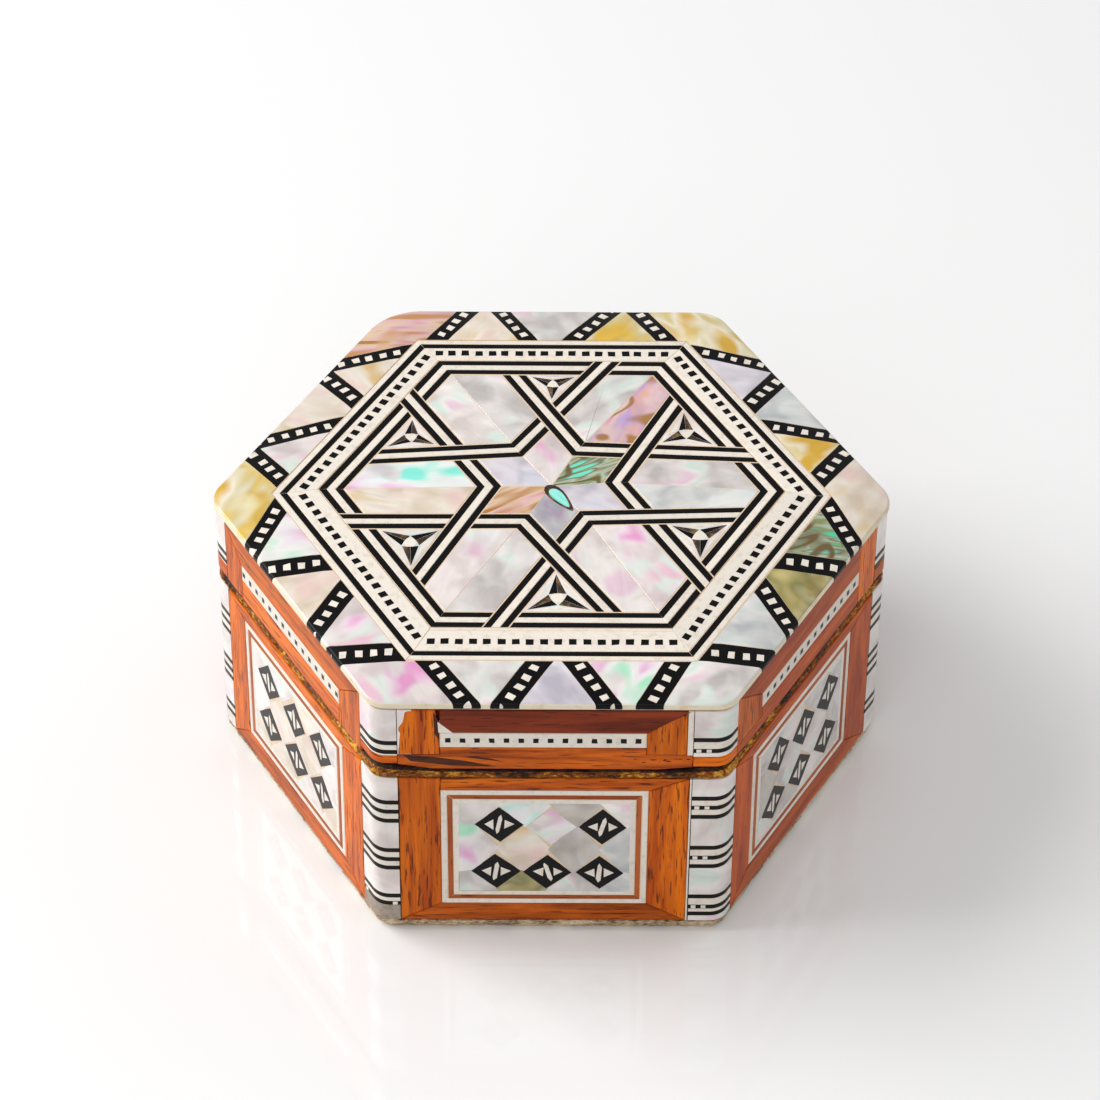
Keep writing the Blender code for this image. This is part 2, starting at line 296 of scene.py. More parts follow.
@dataclass(frozen=True)
class Shell(Finish):
    """Mother-of-pearl, ground flat and polished: clouds, growth lines that also carry a painted sheen, and
    colours that play in it.
    """

    pale: str
    deep: str
    fire: tuple[str, ...] = ("#f3d4e2", "#f8f3ee", "#deefe4", "#f6efec")
    fire_share: float = 0.5
    streak_length: float = 7.0
    streak_width: float = 3.8
    arc: str = ""
    arc_spacing: float = 6.5
    CLOUD: ClassVar[float] = 5.2
    TONE: ClassVar[float] = 0.88
    TONES: ClassVar[Point] = (0.93, 1.05)
    BUMP: ClassVar[tuple[float, float, bool]] = (0.12, 0.06, False)

    def layers(self) -> tuple[Layer, ...]:
        """Sets the noises by the size of what shell shows.

        Returns:
            Clouds, streaks of colour, the patches that show them, growth lines that also paint a sheen, and
            the outer skin.
        """
        patch = self.CLOUD * 1.3
        skin = self.arc_spacing / 0.36
        return (
            Layer(self.CLOUD, self.CLOUD, 2.0, 0.45, 0.4),
            Layer(self.streak_length / 0.8, self.streak_width / 0.8, 1.2, 0.4, 0.4),
            Layer(patch, patch, 1.0, 0.5, 0.3, 7.0 / patch),
            Layer(1 / 0.13, 1 / 0.42, 3.0, 0.48, 0.6),
            Layer(skin, skin, 1.0, 0.35, 1.2),
        )

    def paint(self, tree: bpy.types.NodeTree, noises: Sequence[Socket]) -> tuple[Socket, Socket]:
        """Mixes the clouded ground with colours, and lays growth lines and brown arcs over both. The growth
        lines also lighten and darken the colour as a painted sheen.

        Args:
            tree: The node tree.
            noises: Clouds, streaks, patches, growth lines and skin.

        Returns:
            The colour, and the height of the streaks.
        """
        clouds, streaks, patches, growth, skin = noises
        smooth, mix = {"interpolation_type": "SMOOTHSTEP"}, {"data_type": "RGBA"}
        stops = ((0.36, self.deep), (0.60, self.pale))
        ground = add_node(tree, "ValToRGB", {}, {"Fac": clouds}, stops).outputs["Color"]
        step = 0.34 / (len(self.fire) - 1)
        between = tuple((0.33 + step * (i + 1), code) for i, code in enumerate(self.fire[1:-1]))
        stops = ((0.33, self.fire[0]), (0.67, self.fire[-1]), *between)
        fire = add_node(tree, "ValToRGB", {}, {"Fac": streaks}, stops).outputs["Color"]
        edge = 0.5 + (0.5 - self.fire_share) * 0.36
        inputs = {"From Min": edge - 0.08, "From Max": edge + 0.08, "Value": patches}
        share = add_node(tree, "MapRange", smooth, inputs).outputs["Result"]
        colour = add_node(tree, "Mix", mix, {0: share, 6: ground, 7: fire}).outputs[2]
        if self.arc:
            layers = add_node(tree, "Math", {"operation": "PINGPONG"}, {0: skin, 1: 0.08}).outputs[0]
            inputs = {"From Min": 0.046, "From Max": 0.07, "To Max": 0.95, "Value": layers}
            line = add_node(tree, "MapRange", smooth, inputs).outputs["Result"]
            colour = add_node(tree, "Mix", mix, {0: line, 6: colour, 7: linear(self.arc)}).outputs[2]
        # Painted sheen: the growth noise brightens and darkens the shell in streaks, both as growth lines and
        # in place of its silky reflections
        inputs = {"From Min": 0.34, "From Max": 0.66, "To Min": 0.95 * self.TONE, "To Max": 1.07 * self.TONE}
        growth_lines_and_painted_sheen = add_node(tree, "MapRange", {}, {**inputs, "Value": growth}).outputs["Result"]
        with_growth_lines_and_painted_sheen = add_node(tree, "HueSaturation", {}, {"Value": growth_lines_and_painted_sheen, "Color": colour})
        return with_growth_lines_and_painted_sheen.outputs["Color"], streaks

    def surface(self) -> tuple[float, float, float, float]:
        """Polished shell under a thin varnish."""
        return 0.26, 0.5, 0.45, 0.06


@dataclass(frozen=True)
class Plain(Finish):
    """A material of one colour: bone, black-stained wood, horn, mastic or filler, with a fine mottle."""

    colour: str
    mottle: str
    mottle_size: float = 1.2
    share: float = 0.5
    roughness: float = 0.36
    coat: float = 0.1
    specular: float = 0.4
    TONES: ClassVar[Point] = (0.94, 1.04)
    BUMP: ClassVar[tuple[float, float, bool]] = (0.2, 0.03, False)

    def layers(self) -> tuple[Layer, ...]:
        """The mottle, at the size of its grain."""
        return (Layer(self.mottle_size, self.mottle_size, 5.0, 0.65),)

    def paint(self, tree: bpy.types.NodeTree, noises: Sequence[Socket]) -> tuple[Socket, Socket]:
        """Mottles the colour.

        Args:
            tree: The node tree.
            noises: The mottle.

        Returns:
            The colour, and the height of the mottle.
        """
        edge = 0.62 - 0.24 * self.share
        stops = ((edge, self.colour), (edge + 0.2, self.mottle))
        return add_node(tree, "ValToRGB", {}, {"Fac": noises[0]}, stops).outputs["Color"], noises[0]

    def surface(self) -> tuple[float, float, float, float]:
        """Rubbed or polished as the stock takes it."""
        return self.roughness, self.specular, self.coat, 0.1


class Stock(Enum):
    """What a tile is cut from, with its finish."""

    # Veneers under old varnish: orange to brown, with long figure and short dark pores
    ORANGE_WOOD = Wood("varnished_padauk", "#e87404", "#a83e01", "#4a1501", 0.57, figure_width=1.7)
    RED_WOOD = Wood("varnished_red_wood", "#cc5c10", "#9c3604", "#4c1402", 0.62)
    DARK_WOOD = Wood("varnished_rosewood", "#943812", "#641e06", "#320a02", 0.6)
    BROWN_WOOD = Wood("varnished_brown_wood", "#d8660a", "#8a3602", "#3a1402", 0.6, 16.0, 1.7)
    HEART_WOOD = Wood("dark_heartwood", "#5a2a10", "#3a1a0a", "#1c0c04", 0.6, 16.0, 1.7)
    LINE_WOOD = Wood("brown_veneer_line", "#b8602e", "#96461c", "#5c260e", 0.62)
    # Cut surfaces left raw: honey drops of varnish on torn grain, wood in the seam painted near black as the
    # shade under the lid's edge, pale sawn board
    RAW_WOOD = RoughWood("raw_wood_in_dried_varnish", "#221002", "#8a4804", "#f0b43c")
    # Painted shade: the seam wood's near-black colours stand for the lid's shadow in the joint
    SEAM_WOOD_IN_PAINTED_SHADE = RoughWood("raw_wood_darkened_as_painted_shade", "#080401", "#241004", "#6a400c")
    BOARD_WOOD = RoughWood("sawn_board_edge", "#5e462e", "#c4a884", "#ecdcc0", 0.36, 0.7)
    # Small inlay and fillings: white bone, dull black rods, glossy streaked horn, mastic in the joints
    BONE = Plain("polished_bone", "#ebe2d6", "#d9cdbc")
    BLACK = Plain("black_stained_wood", "#0c0a0c", "#262224", 0.5, 0.1, 0.3, 0.0, 0.12)
    HORN = Plain("brown_horn", "#2e1a0c", "#8c6a2c", 1.4, 0.6, 0.25, 0.4)
    MASTIC = Plain("cream_mastic", "#e4ccb0", "#c9a988", 0.8, 0.3, 0.5, 0.1)
    FILLER = Plain("grey_filler", "#a89a8c", "#7c6c60", 1.0, 0.5, 0.6, 0.0)
    EDGE = Plain("worn_edge_of_the_shell", "#e9dcc0", "#d8c294", 2.4, 0.4, 0.4, 0.1)
    # Mother-of-pearl: white to grey ground with soft clouds, and faint or strong patches of its colours
    WHITE = Shell("white_mother_of_pearl", "#faf1ec", "#e0d3cd", fire_share=0.3)
    SILVER = Shell("silver_mother_of_pearl", "#eae3df", "#c8c1be", fire_share=0.35)
    GREY = Shell("grey_mother_of_pearl", "#d2cbc2", "#b6aca2", ("#cfc6ba", "#d9d4d0", "#c6bcb8"))
    LILAC = Shell("lilac_mother_of_pearl", "#e9e2e8", "#c6c0cc", ("#e4d6e6", "#f2eaf0", "#d8dae8"))
    BLUE = Shell("grey_blue_mother_of_pearl", "#e6e5e2", "#c0c4c4", ("#dce2e0", "#efeeea", "#d2dcd8"), 0.45)
    CREAM = Shell("cream_mother_of_pearl", "#efe4d4", "#dccbb4", ("#e2c088", "#f2eadc", "#eecfc6"))
    PINK = Shell(
        "pink_mother_of_pearl", "#f3e7e3", "#dacbca", ("#f0a4d2", "#f6e4ec", "#e6f2e6", "#f4cad8")
    )
    FIRE = Shell(
        "green_and_pink_mother_of_pearl",
        "#f4ebe6",
        "#d4ccc9",
        ("#f2a2da", "#f8ecf2", "#f6f6f0", "#b2f0cc"),
        0.65,
    )
    SEA = Shell(
        "turquoise_and_pink_mother_of_pearl",
        "#f0e9e8",
        "#cec8ca",
        ("#f2a4e0", "#f6eef2", "#ecf6f0", "#8cf0de"),
        0.75,
    )
    # Other shells: yellow to brown lips and skins with brown arcs, and abalone with green and blue fire
    GOLD = Shell("gold_lip_shell", "#ecdca4", "#d8b248", ("#deae30", "#f4ead0", "#dccc94", "#e8bc40"), 0.6)
    OLIVE = Shell("olive_shell", "#b8aa6a", "#8c7a34", ("#a88630", "#b8b48a", "#8a8448", "#c9b878"), 0.6)
    TAN = Shell(
        "tan_shell", "#e2bc92", "#cf9a60", ("#b87632", "#e8c8a8", "#e6b4c0", "#cc8e4c"), 0.6, 9.0, 1.6
    )
    DUSK = Shell("dusky_abalone", "#b8a8b8", "#8c8494", ("#a898b4", "#c8ccc8", "#b09ab0", "#94b4a8"), 0.6)
    TURQUOISE = Shell(
        "turquoise_abalone", "#8ff5e0", "#4fe0c0", ("#38d8b8", "#a8f8ec", "#6ceede"), 0.6, 4.0, 0.9
    )
    ARC = Shell(
        "pink_shell_with_brown_arcs",
        "#f0ccce",
        "#d4a4b4",
        ("#e87cbc", "#f2d0c4", "#c4a4e0", "#f4bca8"),
        0.6,
        arc="#b07a34",
    )
    ABALONE = Shell(
        "green_abalone",
        "#a8a884",
        "#6f7458",
        ("#4fd6a8", "#8c8c50", "#b8c8b0", "#7a6a46", "#74e8c8"),
        0.75,
        streak_width=1.1,
        arc="#6e5426",
        arc_spacing=6.0,
    )


def stocks(names: str) -> tuple[Stock, ...]:
    """The stocks of a row of tiles, by their names."""
    return tuple(Stock[name] for name in names.upper().split())


@cache
def material_of(stock: Stock) -> bpy.types.Material:
    """The material of a stock, made when the first tile asks for it."""
    return stock.value.material()


def polar(angle: float, radius: float) -> Point:
    """The point at an angle in degrees and a distance from the middle."""
    return radius * math.cos(math.radians(angle)), radius * math.sin(math.radians(angle))


def midway(first: Point, second: Point) -> Point:
    """The point halfway between two."""
    return (first[0] + second[0]) / 2, (first[1] + second[1]) / 2


@dataclass(frozen=True)
class Line:
    """A straight line on a face: a point on it, and its direction in degrees."""

    point: Point
    angle: float

    @staticmethod
    def between(start: Point, end: Point) -> Line:
        """The line from one point through another."""
        return Line(start, math.degrees(math.atan2(end[1] - start[1], end[0] - start[0])))

    def to_left(self, point: Point) -> float:
        """How far a point lies to the left of the line."""
        dx, dy = polar(self.angle, 1)
        return dx * (point[1] - self.point[1]) - dy * (point[0] - self.point[0])

    def moved(self, distance: float) -> Line:
        """The line moved to its left."""
        dx, dy = polar(self.angle + 90, distance)
        return Line((self.point[0] + dx, self.point[1] + dy), self.angle)

    def back(self) -> Line:
        """The same line in the other direction."""
        return Line(self.point, self.angle + 180)

    def at(self, distance: float, left: float = 0.0) -> Point:
        """The point at a distance along the line and to its left."""
        (dx, dy), (lx, ly) = polar(self.angle, distance), polar(self.angle + 90, left)
        return self.point[0] + dx + lx, self.point[1] + dy + ly

    def meet(self, other: Line) -> Point:
        """The point where the line meets another."""
        gap = -other.to_left(self.point)
        return self.at(gap / math.sin(math.radians(self.angle - other.angle)))


def inset(outline: Sequence[Point], distance: float | Sequence[float]) -> list[Point]:
    """Moves the edges of an outline inwards.

    Args:
        outline: Its points, anticlockwise.
        distance: One distance, or one for the edge that starts at each point.

    Returns:
        The new points.
    """
    count = len(outline)
    gaps = [distance] * count if isinstance(distance, (int, float)) else list(distance)
    edges = [Line.between(outline[i], outline[(i + 1) % count]).moved(gaps[i]) for i in range(count)]
    moved = []
    for before, after in zip(edges[-1:] + edges[:-1], edges):
        in_line = abs(math.sin(math.radians(after.angle - before.angle))) < 0.001
        moved.append(after.point if in_line else before.meet(after))
    return moved


def clip(outline: Sequence[Point], *lines: Line) -> list[Point]:
    """Cuts an outline along lines.

    Args:
        outline: Its points, anticlockwise.
        lines: What lies to the left of each is kept.

    Returns:
        The points that are left, or none.
    """
    for line in lines:
        kept: list[Point] = []
        for i, point in enumerate(outline):
            before = outline[i - 1]
            now, last = line.to_left(point), line.to_left(before)
            if now * last < 0:
                share = last / (last - now)
                kept.append(tuple(b + (p - b) * share for b, p in zip(before, point)))
            if now >= 0:
                kept.append(point)
        outline = kept
    return list(outline)


def strip(line: Line, right: float, left: float, length: float = 160.0) -> list[Point]:
    """A long strip along a line, from one distance to its right to another to its left."""
    half = length / 2
    return [line.at(-half, -right), line.at(half, -right), line.at(half, left), line.at(-half, left)]


def on_lid(a: float, b: float, out: float) -> Vector:
    """Places a point of the lid's plan at a height."""
    return Vector((a, b, out))


@dataclass(frozen=True)
class Area:
    """An upright rectangle on a side."""

    left: float
    low: float
    right: float
    high: float

    def corners(self, reach: float = 0.0) -> list[Point]:
        """Its corners from the lower left one, anticlockwise, moved in by a distance."""
        left, low, right, high = self.left + reach, self.low + reach, self.right - reach, self.high - reach
        return [(left, low), (right, low), (right, high), (left, high)]


@dataclass(frozen=True)
class Side:
    """One of the six upright sides, with places along it, up it and out from the axis."""

    index: int

    @property
    def name(self) -> str:
        """The side's name."""
        return SIDES[self.index]

    @property
    def angle(self) -> float:
        """The direction that the side faces, in degrees."""
        return (self.index + 0.5) * 60

    def plan(self, along: float, out: float) -> Point:
        """The point in plan at a place along the side and a distance from the axis."""
        return Line(polar(self.angle, out), self.angle + 90).at(along)

    def place(self, along: float, height: float, out: float) -> Vector:
        """The point in space at a place along the side, a height and a distance from the axis."""
        return Vector((*self.plan(along, out), height))


@dataclass(frozen=True)
class Outline:
    """The sanded outline of the box: a hexagon with rounded corners, and a plate with a rounded rim."""

    flats: float
    top: float
    corner_radius: float = 3.0
    plate_radius: tuple[float, ...] = (5.5, 5.5, 10.0, 5.0, 3.8, 3.8)
    overhang: float = 0.5
    crown_start: float = 38.0
    crown_slope: float = 6.0
    rim_radius: float = 0.6
    rim_steps: int = 5

    @property
    def half_side(self) -> float:
        """Half the length of a side."""
        return self.flats * math.tan(math.radians(30))

    def corner(self, index: float, flats: float, shift: float = 0.0) -> Point:
        """A corner of a hexagon with these flats, moved towards the back by a shift."""
        x, y = polar(index * 60, flats / math.cos(math.radians(30)))
        return x, y + shift

    def bend(self, index: int, flats: float, radius: float, steps: int = 8) -> list[tuple[Point, float]]:
        """Rounds a corner of a hexagon.

        Args:
            index: The number of the corner.
            flats: Distance of the hexagon's flats from the axis.
            radius: Radius of the corner.
            steps: How many edges it gets.

        Returns:
            Points in plan, with the direction that each one faces.
        """
        centre = self.corner(index, flats - radius)
        angles = [index * 60 - 30 + 60 * i / steps for i in range(steps + 1)]
        return [(Line(centre, angle).at(radius), angle) for angle in angles]

    def course(self, side: int, outer: float, inner: float, shift: float = 0.0) -> list[Point]:
        """The mitred course along a side, between two hexagons of which the inner one may be shifted."""
        start, end = self.corner(side, inner, shift), self.corner(side + 1, inner, shift)
        return [start, self.corner(side, outer), self.corner(side + 1, outer), end]

    def planes(self, sunk: float) -> list[Plane]:
        """The planes that the plate's edge is sanded to.

        Args:
            sunk: How far under the polished surface they lie.

        Returns:
            A point and an outward normal for each plane.
        """
        edge = self.flats + self.overhang
        facing = [(side * 60 + 30, edge, self.crown_start) for side in range(6)]
        for corner, radius in enumerate(self.plate_radius):
            for turn in (-22.5, -15, -7.5, 0, 7.5, 15, 22.5):
                spread = math.cos(math.radians(turn)) / math.cos(math.radians(30))
                distance = (edge - radius) * spread + radius
                facing.append((corner * 60 + turn, distance, self.crown_start * spread))
        made = [(Vector((0, 0, self.top - sunk)), Vector((0, 0, 1)))]
        steep = 90 - self.crown_slope
        fall, rise = polar(steep, 1)
        for angle, distance, start in facing:
            reach = distance - self.rim_radius
            height = self.top - (self.rim_radius + fall * (reach - start)) / rise
            axis = Vector((*polar(angle, reach), height))
            for step in range(self.rim_steps + 1):
                out, up = polar(steep * step / self.rim_steps, 1)
                normal = Vector((*polar(angle, out), up))
                made.append((axis + normal * (self.rim_radius - sunk), normal))
        return made


@dataclass
class Marquetry:
    """One piece of the box: closed tiles, gathered into a single mesh with the stock of each one."""

    name: str
    points: list[Vector] = field(default_factory=list)
    faces: list[tuple[int, ...]] = field(default_factory=list)
    slots: list[int] = field(default_factory=list)
    blanks: list[Vector] = field(default_factory=list)
    lots: list[float] = field(default_factory=list)
    stocks: list[Stock] = field(default_factory=list)

    def __post_init__(self) -> None:
        """Gives the piece its own hand, so that it is cut the same way each time."""
        self.hand = random.Random(self.name)

    def slot_of(self, stock: Stock) -> int:
        """Finds the number of a stock's material, which is added if it's new.

        Args:
            stock: The stock.

        Returns:
            Its number in the mesh.
        """
        if stock not in self.stocks:
            self.stocks.append(stock)
        return self.stocks.index(stock)

    def saw(self, stock: Stock, flat: Sequence[Vector], grain: float) -> int:
        """Notes where in its stock each new point lies.

        Args:
            stock: What the tile is cut from.
            flat: The tile's own coordinates, in millimetres.
            grain: Direction of the stock's grain, in degrees.

        Returns:
            The number of the stock's material.
        """
        turn = Matrix.Rotation(math.radians(-grain), 3, "Z")
        start = Vector([self.hand.uniform(-STOCK_SPREAD, STOCK_SPREAD) for _ in range(3)])
        self.blanks += [turn @ place + start for place in flat]
        self.lots += [self.hand.random()] * len(flat)
        return self.slot_of(stock)

    def loft(
        self,
        stock: Stock,
        rings: Sequence[Sequence[Vector]],
        flat: Sequence[Vector],
        grain: float,
        steps_of: dict[int, Stock] | None = None,
    ) -> None:
        """Adds a closed tile from rings of as many points each.

        Args:
            stock: What the tile is cut from.
            rings: The points of each ring, in space.
            flat: The tile's own coordinates of all of them, ring after ring.
            grain: Direction of the stock's grain, in degrees.
            steps_of: Steps from ring to ring that show another stock.
        """
        slot = self.saw(stock, flat, grain)
        first, count = len(self.points), len(rings[0])
        self.points += [point for ring in rings for point in ring]
        for step in range(len(rings) - 1):
            low = first + step * count
            high = low + count
            for i in range(count):
                j = (i + 1) % count
                self.faces.append((low + i, low + j, high + j, high + i))
            self.slots += [self.slot_of((steps_of or {}).get(step, stock))] * count
        last = first + (len(rings) - 1) * count
        self.faces.append(tuple(range(first + count - 1, first - 1, -1)))
        self.faces.append(tuple(range(last, last + count)))
        self.slots += [slot] * 2

    def tile(
        self,
        stock: Stock,
        outline: Sequence[Point],
        place: Placing,
        top: float,
        depth: float = TILE_DEPTH,
        grain: float | None = None,
        slack: float = 0.0,
        ease: float = EASE,
    ) -> None:
        """Adds a flat tile with eased edges.

        Args:
            stock: What it is cut from.
            outline: Its outline on its face, anticlockwise.
            place: Turns a place on the face and a distance out into a point in space.
            top: How far out its polished face lies.
            depth: How thick it is.
            grain: Direction of its grain in degrees, or any direction.
            slack: How unevenly its corners were cut by hand.
            ease: How far its edges are rubbed off.
        """
        if len(outline) < 3:
            return
        if slack:
            outline = [(a + self.hand.gauss(0, slack), b + self.hand.gauss(0, slack)) for a, b in outline]
        along = self.hand.uniform(0, 360) if grain is None else grain
        levels = ((outline, top - depth), (outline, top - ease), (inset(outline, ease), top))
        flat = [Vector((a, b, out)) for ring, out in levels for a, b in ring]
        self.loft(stock, [[place(a, b, out) for a, b in ring] for ring, out in levels], flat, along)

    def sanded_tile(
        self,
        stock: Stock,
        outline: Sequence[Point],
        low: float,
        high: float,
        planes: Sequence[Plane],
        grain: float | None = None,
        worn: Stock | None = None,
    ) -> None:
        """Adds a tile of the plate that is sanded round with the rim.

        Args:
            stock: What it is cut from.
            outline: Its outline in plan, anticlockwise, past the edge of the box.
            low: The height of its underside.
            high: The height of its top.
            planes: The planes that it is sanded to.
            grain: Direction of its grain in degrees, or any direction.
            worn: What shows on its edge round the rim, where that differs.
        """
        if len(outline) < 3:
            return
        shape = bmesh.new()
        base = shape.faces.new(reversed([shape.verts.new(Vector((x, y, low))) for x, y in outline]))
        grown = bmesh.ops.extrude_face_region(shape, geom=[base])
        lifted = [item for item in grown["geom"] if isinstance(item, bmesh.types.BMVert)]
        bmesh.ops.translate(shape, verts=lifted, vec=(0, 0, high - low))
        bmesh.ops.recalc_face_normals(shape, faces=shape.faces)
        for point, normal in planes:
            if all((vert.co - point).dot(normal) < TOUCHING for vert in shape.verts):
                continue
            everything = shape.verts[:] + shape.edges[:] + shape.faces[:]
            cut = bmesh.ops.bisect_plane(
                shape, geom=everything, dist=1e-5, plane_co=point, plane_no=normal, clear_outer=True
            )
            rim = [item for item in cut["geom_cut"] if isinstance(item, bmesh.types.BMEdge)]
            if rim:
                bmesh.ops.edgeloop_fill(shape, edges=rim)
        bmesh.ops.remove_doubles(shape, verts=shape.verts, dist=MERGED)
        shape.verts.index_update()
        along = self.hand.uniform(0, 360) if grain is None else grain
        flat = [vert.co.copy() for vert in shape.verts]
        slot, worn_slot = self.saw(stock, flat, along), self.slot_of(worn or stock)
        first = len(self.points)
        self.points += flat
        for face in shape.faces:
            self.faces.append(tuple(first + vert.index for vert in face.verts))
            at_rim = -0.1 < face.normal.z < 0.75 and face.calc_center_median().xy.length > RIM_REACH
            self.slots.append(worn_slot if at_rim else slot)
        shape.free()

    def bent_tile(
        self,
        stock: Stock,
        route: Route,
        low: float,
        high: float,
        sunk: float = 0.0,
        depth: float = TILE_DEPTH,
        grain: float = 0.0,
        ease: float = EASE,
    ) -> None:
        """Adds a tile that is bent round a corner of the box.

        Args:
            stock: What it is cut from.
            route: Points in plan on the polished surface, with the direction that each one faces.
            low: The height of its lower edge.
            high: The height of its upper edge.
            sunk: How far it lies under the surface.
            depth: How thick it is.
            grain: Direction of its grain in degrees, from along the route.
            ease: How far its edges are rubbed off.
        """
        outs = (-sunk - depth, -sunk - ease, -sunk, -sunk, -sunk - ease, -sunk - depth)
        heights = (low, low, low + ease, high - ease, high, high)
        rings, flat, run = [], [], 0.0
        for i, (point, facing) in enumerate(route):
            if i:
                run += math.dist(point, route[i - 1][0])
            line = Line(point, facing)
            rings.append([Vector((*line.at(out), height)) for out, height in zip(outs, heights)])
            flat += [Vector((run, height, out)) for out, height in zip(outs, heights)]
        self.loft(stock, rings, flat, grain)

    def build(self, slot: str, *nodes: str) -> None:
        """Writes the mesh, dresses it and sets it in the place of its plain nodes.

        Args:
            slot: A material slot of the record; not used.
            nodes: The plain nodes that it stands for.
        """
        mesh = bpy.data.meshes.new(self.name)
        mesh.from_pydata([point * MM for point in self.points], [], self.faces)
        for stock in self.stocks:
            mesh.materials.append(material_of(stock))
        mesh.polygons.foreach_set("material_index", self.slots)
        blank = mesh.attributes.new("blank", "FLOAT_VECTOR", "POINT")
        blank.data.foreach_set("vector", [number for place in self.blanks for number in place])
        mesh.attributes.new("lot", "FLOAT", "POINT").data.foreach_set("value", self.lots)
        shape = bmesh.new()
        shape.from_mesh(mesh)
        bmesh.ops.recalc_face_normals(shape, faces=shape.faces)
        shape.to_mesh(mesh)
        shape.free()
        mesh.shade_smooth()
        mesh.set_sharp_from_angle(angle=SMOOTH_BELOW)
        made = bpy.data.objects.new(self.name, mesh)
        bpy.context.scene.collection.objects.link(made)
        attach(made, BODY)
        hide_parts(*nodes)
        LOG.info("%s: %d faces for %s", self.name, len(self.faces), ", ".join(nodes))


